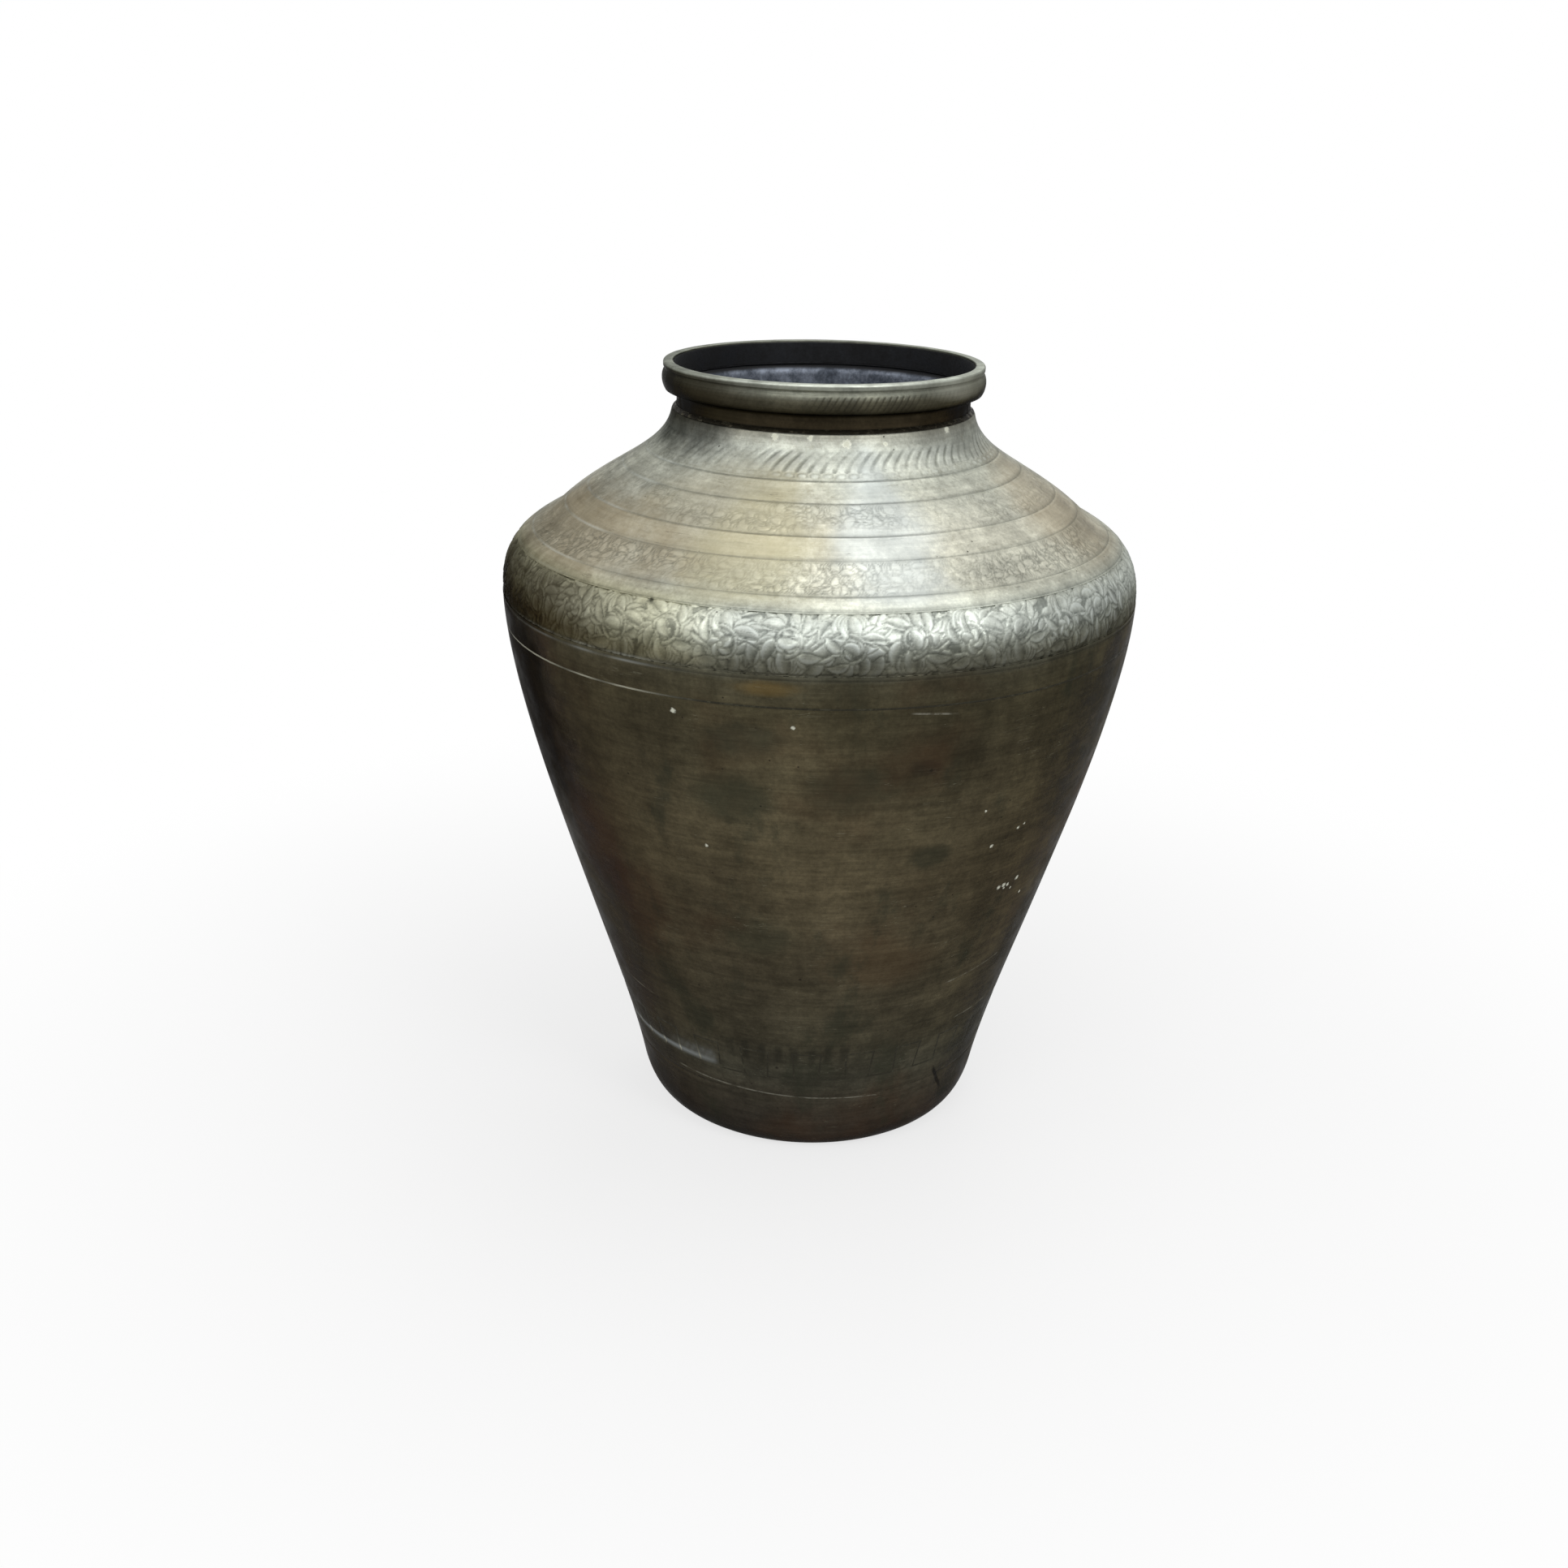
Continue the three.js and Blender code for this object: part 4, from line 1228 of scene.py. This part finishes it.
def make_neck_bead():
    """Spelter that fills the lap of shoulder and collar, with a lumpy bead on its edge."""
    arcs = np.linspace(arc_at(COLLAR_FOOT + 0.9), arc_at(OPENING_HEIGHT), 8)
    climb = along(arcs, WALL_SHEET + LAP_GAP)[:, :2]
    bead = [(r, OPENING_HEIGHT + rise) for r, rise in NECK_BEAD]
    down = along(arcs[::-1], LAP_DEPTH - LAP_GAP)[:, :2]
    rows = with_normals(np.vstack([climb, bead, down]))
    azimuths = column_azimuths(BEAD_COLUMNS)
    lumps = sum(np.sin(k * azimuths + k * k) for k in (17, 29, 43, 71, 113)) / 5
    lift = np.zeros((len(rows), BEAD_COLUMNS))
    first = len(climb) + 1
    lift[first : first + 4] = -0.12 + 0.2 * lumps
    piece = ring("neck_seam_bead", rows, BEAD_COLUMNS, [NECK_SPELTER], lift)
    keep(piece, "spelter", "neck_seam_solder")


def rim_section():
    """The rim's closed section, from its foot up the swelling band, over the lip and down the bore."""
    height = RIM_BAND_TOP - RIM_FOOT
    fullness = RIM_CROWN + RIM_SWELL / 3
    low, high = (fullness, RIM_FOOT + 0.3 * height), (fullness, RIM_FOOT + 0.8 * height)
    foot, top = (RIM_CROWN - RIM_SWELL, RIM_FOOT), (GROOVE_RADIUS, RIM_BAND_TOP)
    lip = rounded_section(
        [
            (GROOVE_RADIUS + 0.15, LIP_FOOT - 0.4, 0.6), (LIP_RADIUS, LIP_FOOT + 0.4, 0.6),
            (LIP_RADIUS, URN_HEIGHT, 1.8), (RIM_BORE, URN_HEIGHT, 1.6), (RIM_BORE, SEAT_HEIGHT, 0),
            (RIM_BORE + 2.2, SEAT_HEIGHT, 0), (SKIRT_RADIUS, SEAT_HEIGHT, 0), (SKIRT_RADIUS, RIM_FOOT, 0),
        ],
        LIP_STEPS,
    )
    rounded = 4 * LIP_STEPS
    bore = [(RIM_BORE, z) for z in np.linspace(URN_HEIGHT - 2, SEAT_HEIGHT + 1, 6)]
    band = bezier(foot, low, high, top, RIM_BAND_STEPS)
    return with_normals(np.vstack([band, lip[:rounded], bore, lip[rounded:]]))


def make_rim():
    rows = rim_section()
    radii, heights = rows[:, :1], rows[:, 1:2]
    columns = RIM_STROKES * 8
    azimuths = column_azimuths(columns)
    degrees = signed_degrees(azimuths)
    number = np.arange(len(rows))[:, None]
    outer_side = number < RIM_BAND_STEPS + 2 * LIP_STEPS

    # Slanted chisel strokes round the band.
    rise = (heights - RIM_FOOT - 1.4) / (RIM_BAND_TOP - RIM_FOOT - 3.4)
    on_band = window(rise, -0.1, 0.12, 0.9, 1.12) * (number < RIM_BAND_STEPS)
    phase = azimuths * RIM_STROKES / TURN - 1.2 * rise
    stroke = smooth(np.abs(phase % 1 - 0.5), 0.24, 0.46)
    worn = 0.3 + 0.7 * smooth(band_noise(heights[:, 0] * 0.2, azimuths, 9), -0.7, 0.5)
    worn = worn * (1 - 0.8 * window(degrees, -170, -140, -14, 2))
    worn = worn * (1 - 0.7 * window(degrees, 26, 42, 90, 120))
    cut = stroke * on_band * worn
    lift = (0.15 * waviness(azimuths * 2, heights * 0.3) - 0.18 * cut) * outer_side

    # Grime in the strokes and the groove; painted shade under the rim's foot and in the bore; a painted
    # highlight on the lip, weaker on the left and at the back, and painted light on the band's upper
    # half.
    in_groove = smooth(np.abs(heights - RIM_BAND_TOP - 0.5), 1.0, 0.2) * outer_side
    underside = smooth(heights, RIM_FOOT + 2.2, RIM_FOOT) * (radii > SKIRT_RADIUS - 0.5)
    lip_crown = smooth(heights, URN_HEIGHT - 1.8, URN_HEIGHT - 0.5)
    bore_side = smooth(radii, RIM_BORE + 1.0, RIM_BORE + 0.2)
    upper = smooth(heights, (RIM_FOOT + RIM_BAND_TOP) / 2, RIM_BAND_TOP) * outer_side
    highlight_side = 0.5 + 0.5 * window(degrees, -62, -12, 25, 135)
    polish_and_highlight = 0.9 * lip_crown * (1 - bore_side) * highlight_side
    marks = {
        "grime_and_shade": highest(0.45 * cut, 0.15 * in_groove, 0.75 * underside, 0.9 * bore_side),
        "polish_and_highlight": np.maximum(polish_and_highlight, 0.12 * upper * (1 - cut) * (1 - in_groove)),
    }
    inside = (rows[:, 0] < RIM_BORE + 0.5) & (rows[:, 1] < URN_HEIGHT - 0.9)
    piece = ring("cast_rim_ring", rows, columns, [RIM_BRASS, BORE_SHADOW], lift, marks, inside=inside)
    keep(piece, "brass_rim", "rim_ring")


def make_rim_solder():
    foot, top = FLANGE_TOP + SEAT_GAP, SEAT_HEIGHT - SEAT_GAP
    bore = RIM_BORE + 0.3
    corners = [(bore, foot, 0.2), (FLANGE_RADIUS, foot, 0.2), (FLANGE_RADIUS, top, 0.2), (bore, top, 0.4)]
    rows = with_normals(rounded_section(corners, 4))
    piece = ring("rim_seam_bead", rows, COLLAR_COLUMNS, [BORE_SHADOW])
    keep(piece, "spelter", "rim_seam_solder")


# Camera, floor and light.

IMAGE_PIXELS = 1932
FOCAL_PIXELS = 2200
SENSOR = 36.0
CAMERA_PLACE = (0.0, -1056.2, 616.7)
CAMERA_PITCH = math.radians(21.28)
CAMERA_ROLL = math.radians(-1.07)
CAMERA_YAW = math.radians(-1.02)
WORLD_LIGHT = 0.42
FLOOR_SIZE = 6.0
FLOOR_GREY = (0.86, 0.86, 0.86, 1)
FLOOR_WHITE = 0.72

# Soft lamps: name, place and target in metres, width, height, power in watts.
LAMPS = (
    ("overhead", (0.2, -0.1, 1.6), (0.0, 0.0, 0.42), 0.7, 0.9, 4.2),
    ("front", (-0.45, -1.25, 1.25), (0.0, 0.0, 0.36), 0.9, 0.35, 5.0),
    ("front_right", (0.75, -1.1, 1.15), (0.0, 0.0, 0.3), 0.5, 0.7, 6.0),
    ("left", (-1.2, -0.6, 0.9), (0.0, 0.0, 0.25), 0.5, 0.9, 1.5),
    ("behind", (0.3, 1.3, 1.2), (0.0, 0.0, 0.3), 0.9, 0.9, 5.0),
)


def make_camera():
    data = bpy.data.cameras.new("camera")
    data.sensor_fit = "HORIZONTAL"
    data.sensor_width = SENSOR
    data.lens = FOCAL_PIXELS / IMAGE_PIXELS * SENSOR
    camera = add_object("camera", data)
    turns = ((-CAMERA_YAW, "Z"), (math.pi / 2 - CAMERA_PITCH, "X"), (-CAMERA_ROLL, "Z"))
    camera.matrix_world = Matrix.Translation(Vector(CAMERA_PLACE) * MM)
    for angle, axis in turns:
        camera.matrix_world = camera.matrix_world @ Matrix.Rotation(angle, 4, axis)
    bpy.context.scene.camera = camera


def make_world():
    world = bpy.data.worlds.new("studio")
    world.use_nodes = True
    nodes = Nodes(world.node_tree)
    background = world.node_tree.nodes["Background"]
    background.inputs["Color"].default_value = (1, 1, 1, 1)
    strength = nodes.between(nodes.background_ray(), 0, 1, WORLD_LIGHT)
    nodes.put(background.inputs["Strength"], strength)
    bpy.context.scene.world = world


def make_floor():
    """A pale floor that shows white where no shadow falls."""
    mesh = bpy.data.meshes.new("floor")
    half = FLOOR_SIZE / 2
    corners = [(-half, -half, 0), (half, -half, 0), (half, half, 0), (-half, half, 0)]
    mesh.from_pydata(corners, [], [(0, 1, 2, 3)])
    floor = add_object("floor", mesh)
    s = Shading("pale_floor", 0)
    s.shader.inputs["Specular IOR Level"].default_value = 0.1
    s.colour = FLOOR_GREY
    mesh.materials.append(s.finish(0.9))
    white = s.between(s.vector("LENGTH", s.place), 200, 750, FLOOR_WHITE)
    seen = s.times(white, s.background_ray())
    glow = s.add("Emission").outputs[0]
    mixed = s.add("MixShader", {0: seen, 1: s.shader.outputs[0], 2: glow})
    s.put(s.tree.nodes["Material Output"].inputs["Surface"], mixed.outputs[0])


def make_lamps():
    for name, place, target, width, height, power in LAMPS:
        data = bpy.data.lights.new(name, "AREA")
        data.shape = "RECTANGLE"
        data.size = width
        data.size_y = height
        data.energy = power
        lamp = add_object(name, data)
        lamp.location = place
        way = Vector(target) - Vector(place)
        lamp.rotation_euler = way.to_track_quat("-Z", "Y").to_euler()


make_camera()
make_lower_body()
make_belly_seam()
make_shoulder()
make_collar()
make_neck_bead()
make_rim()
make_rim_solder()
make_world()
make_floor()
make_lamps()
bpy.context.scene.view_settings.view_transform = "Standard"
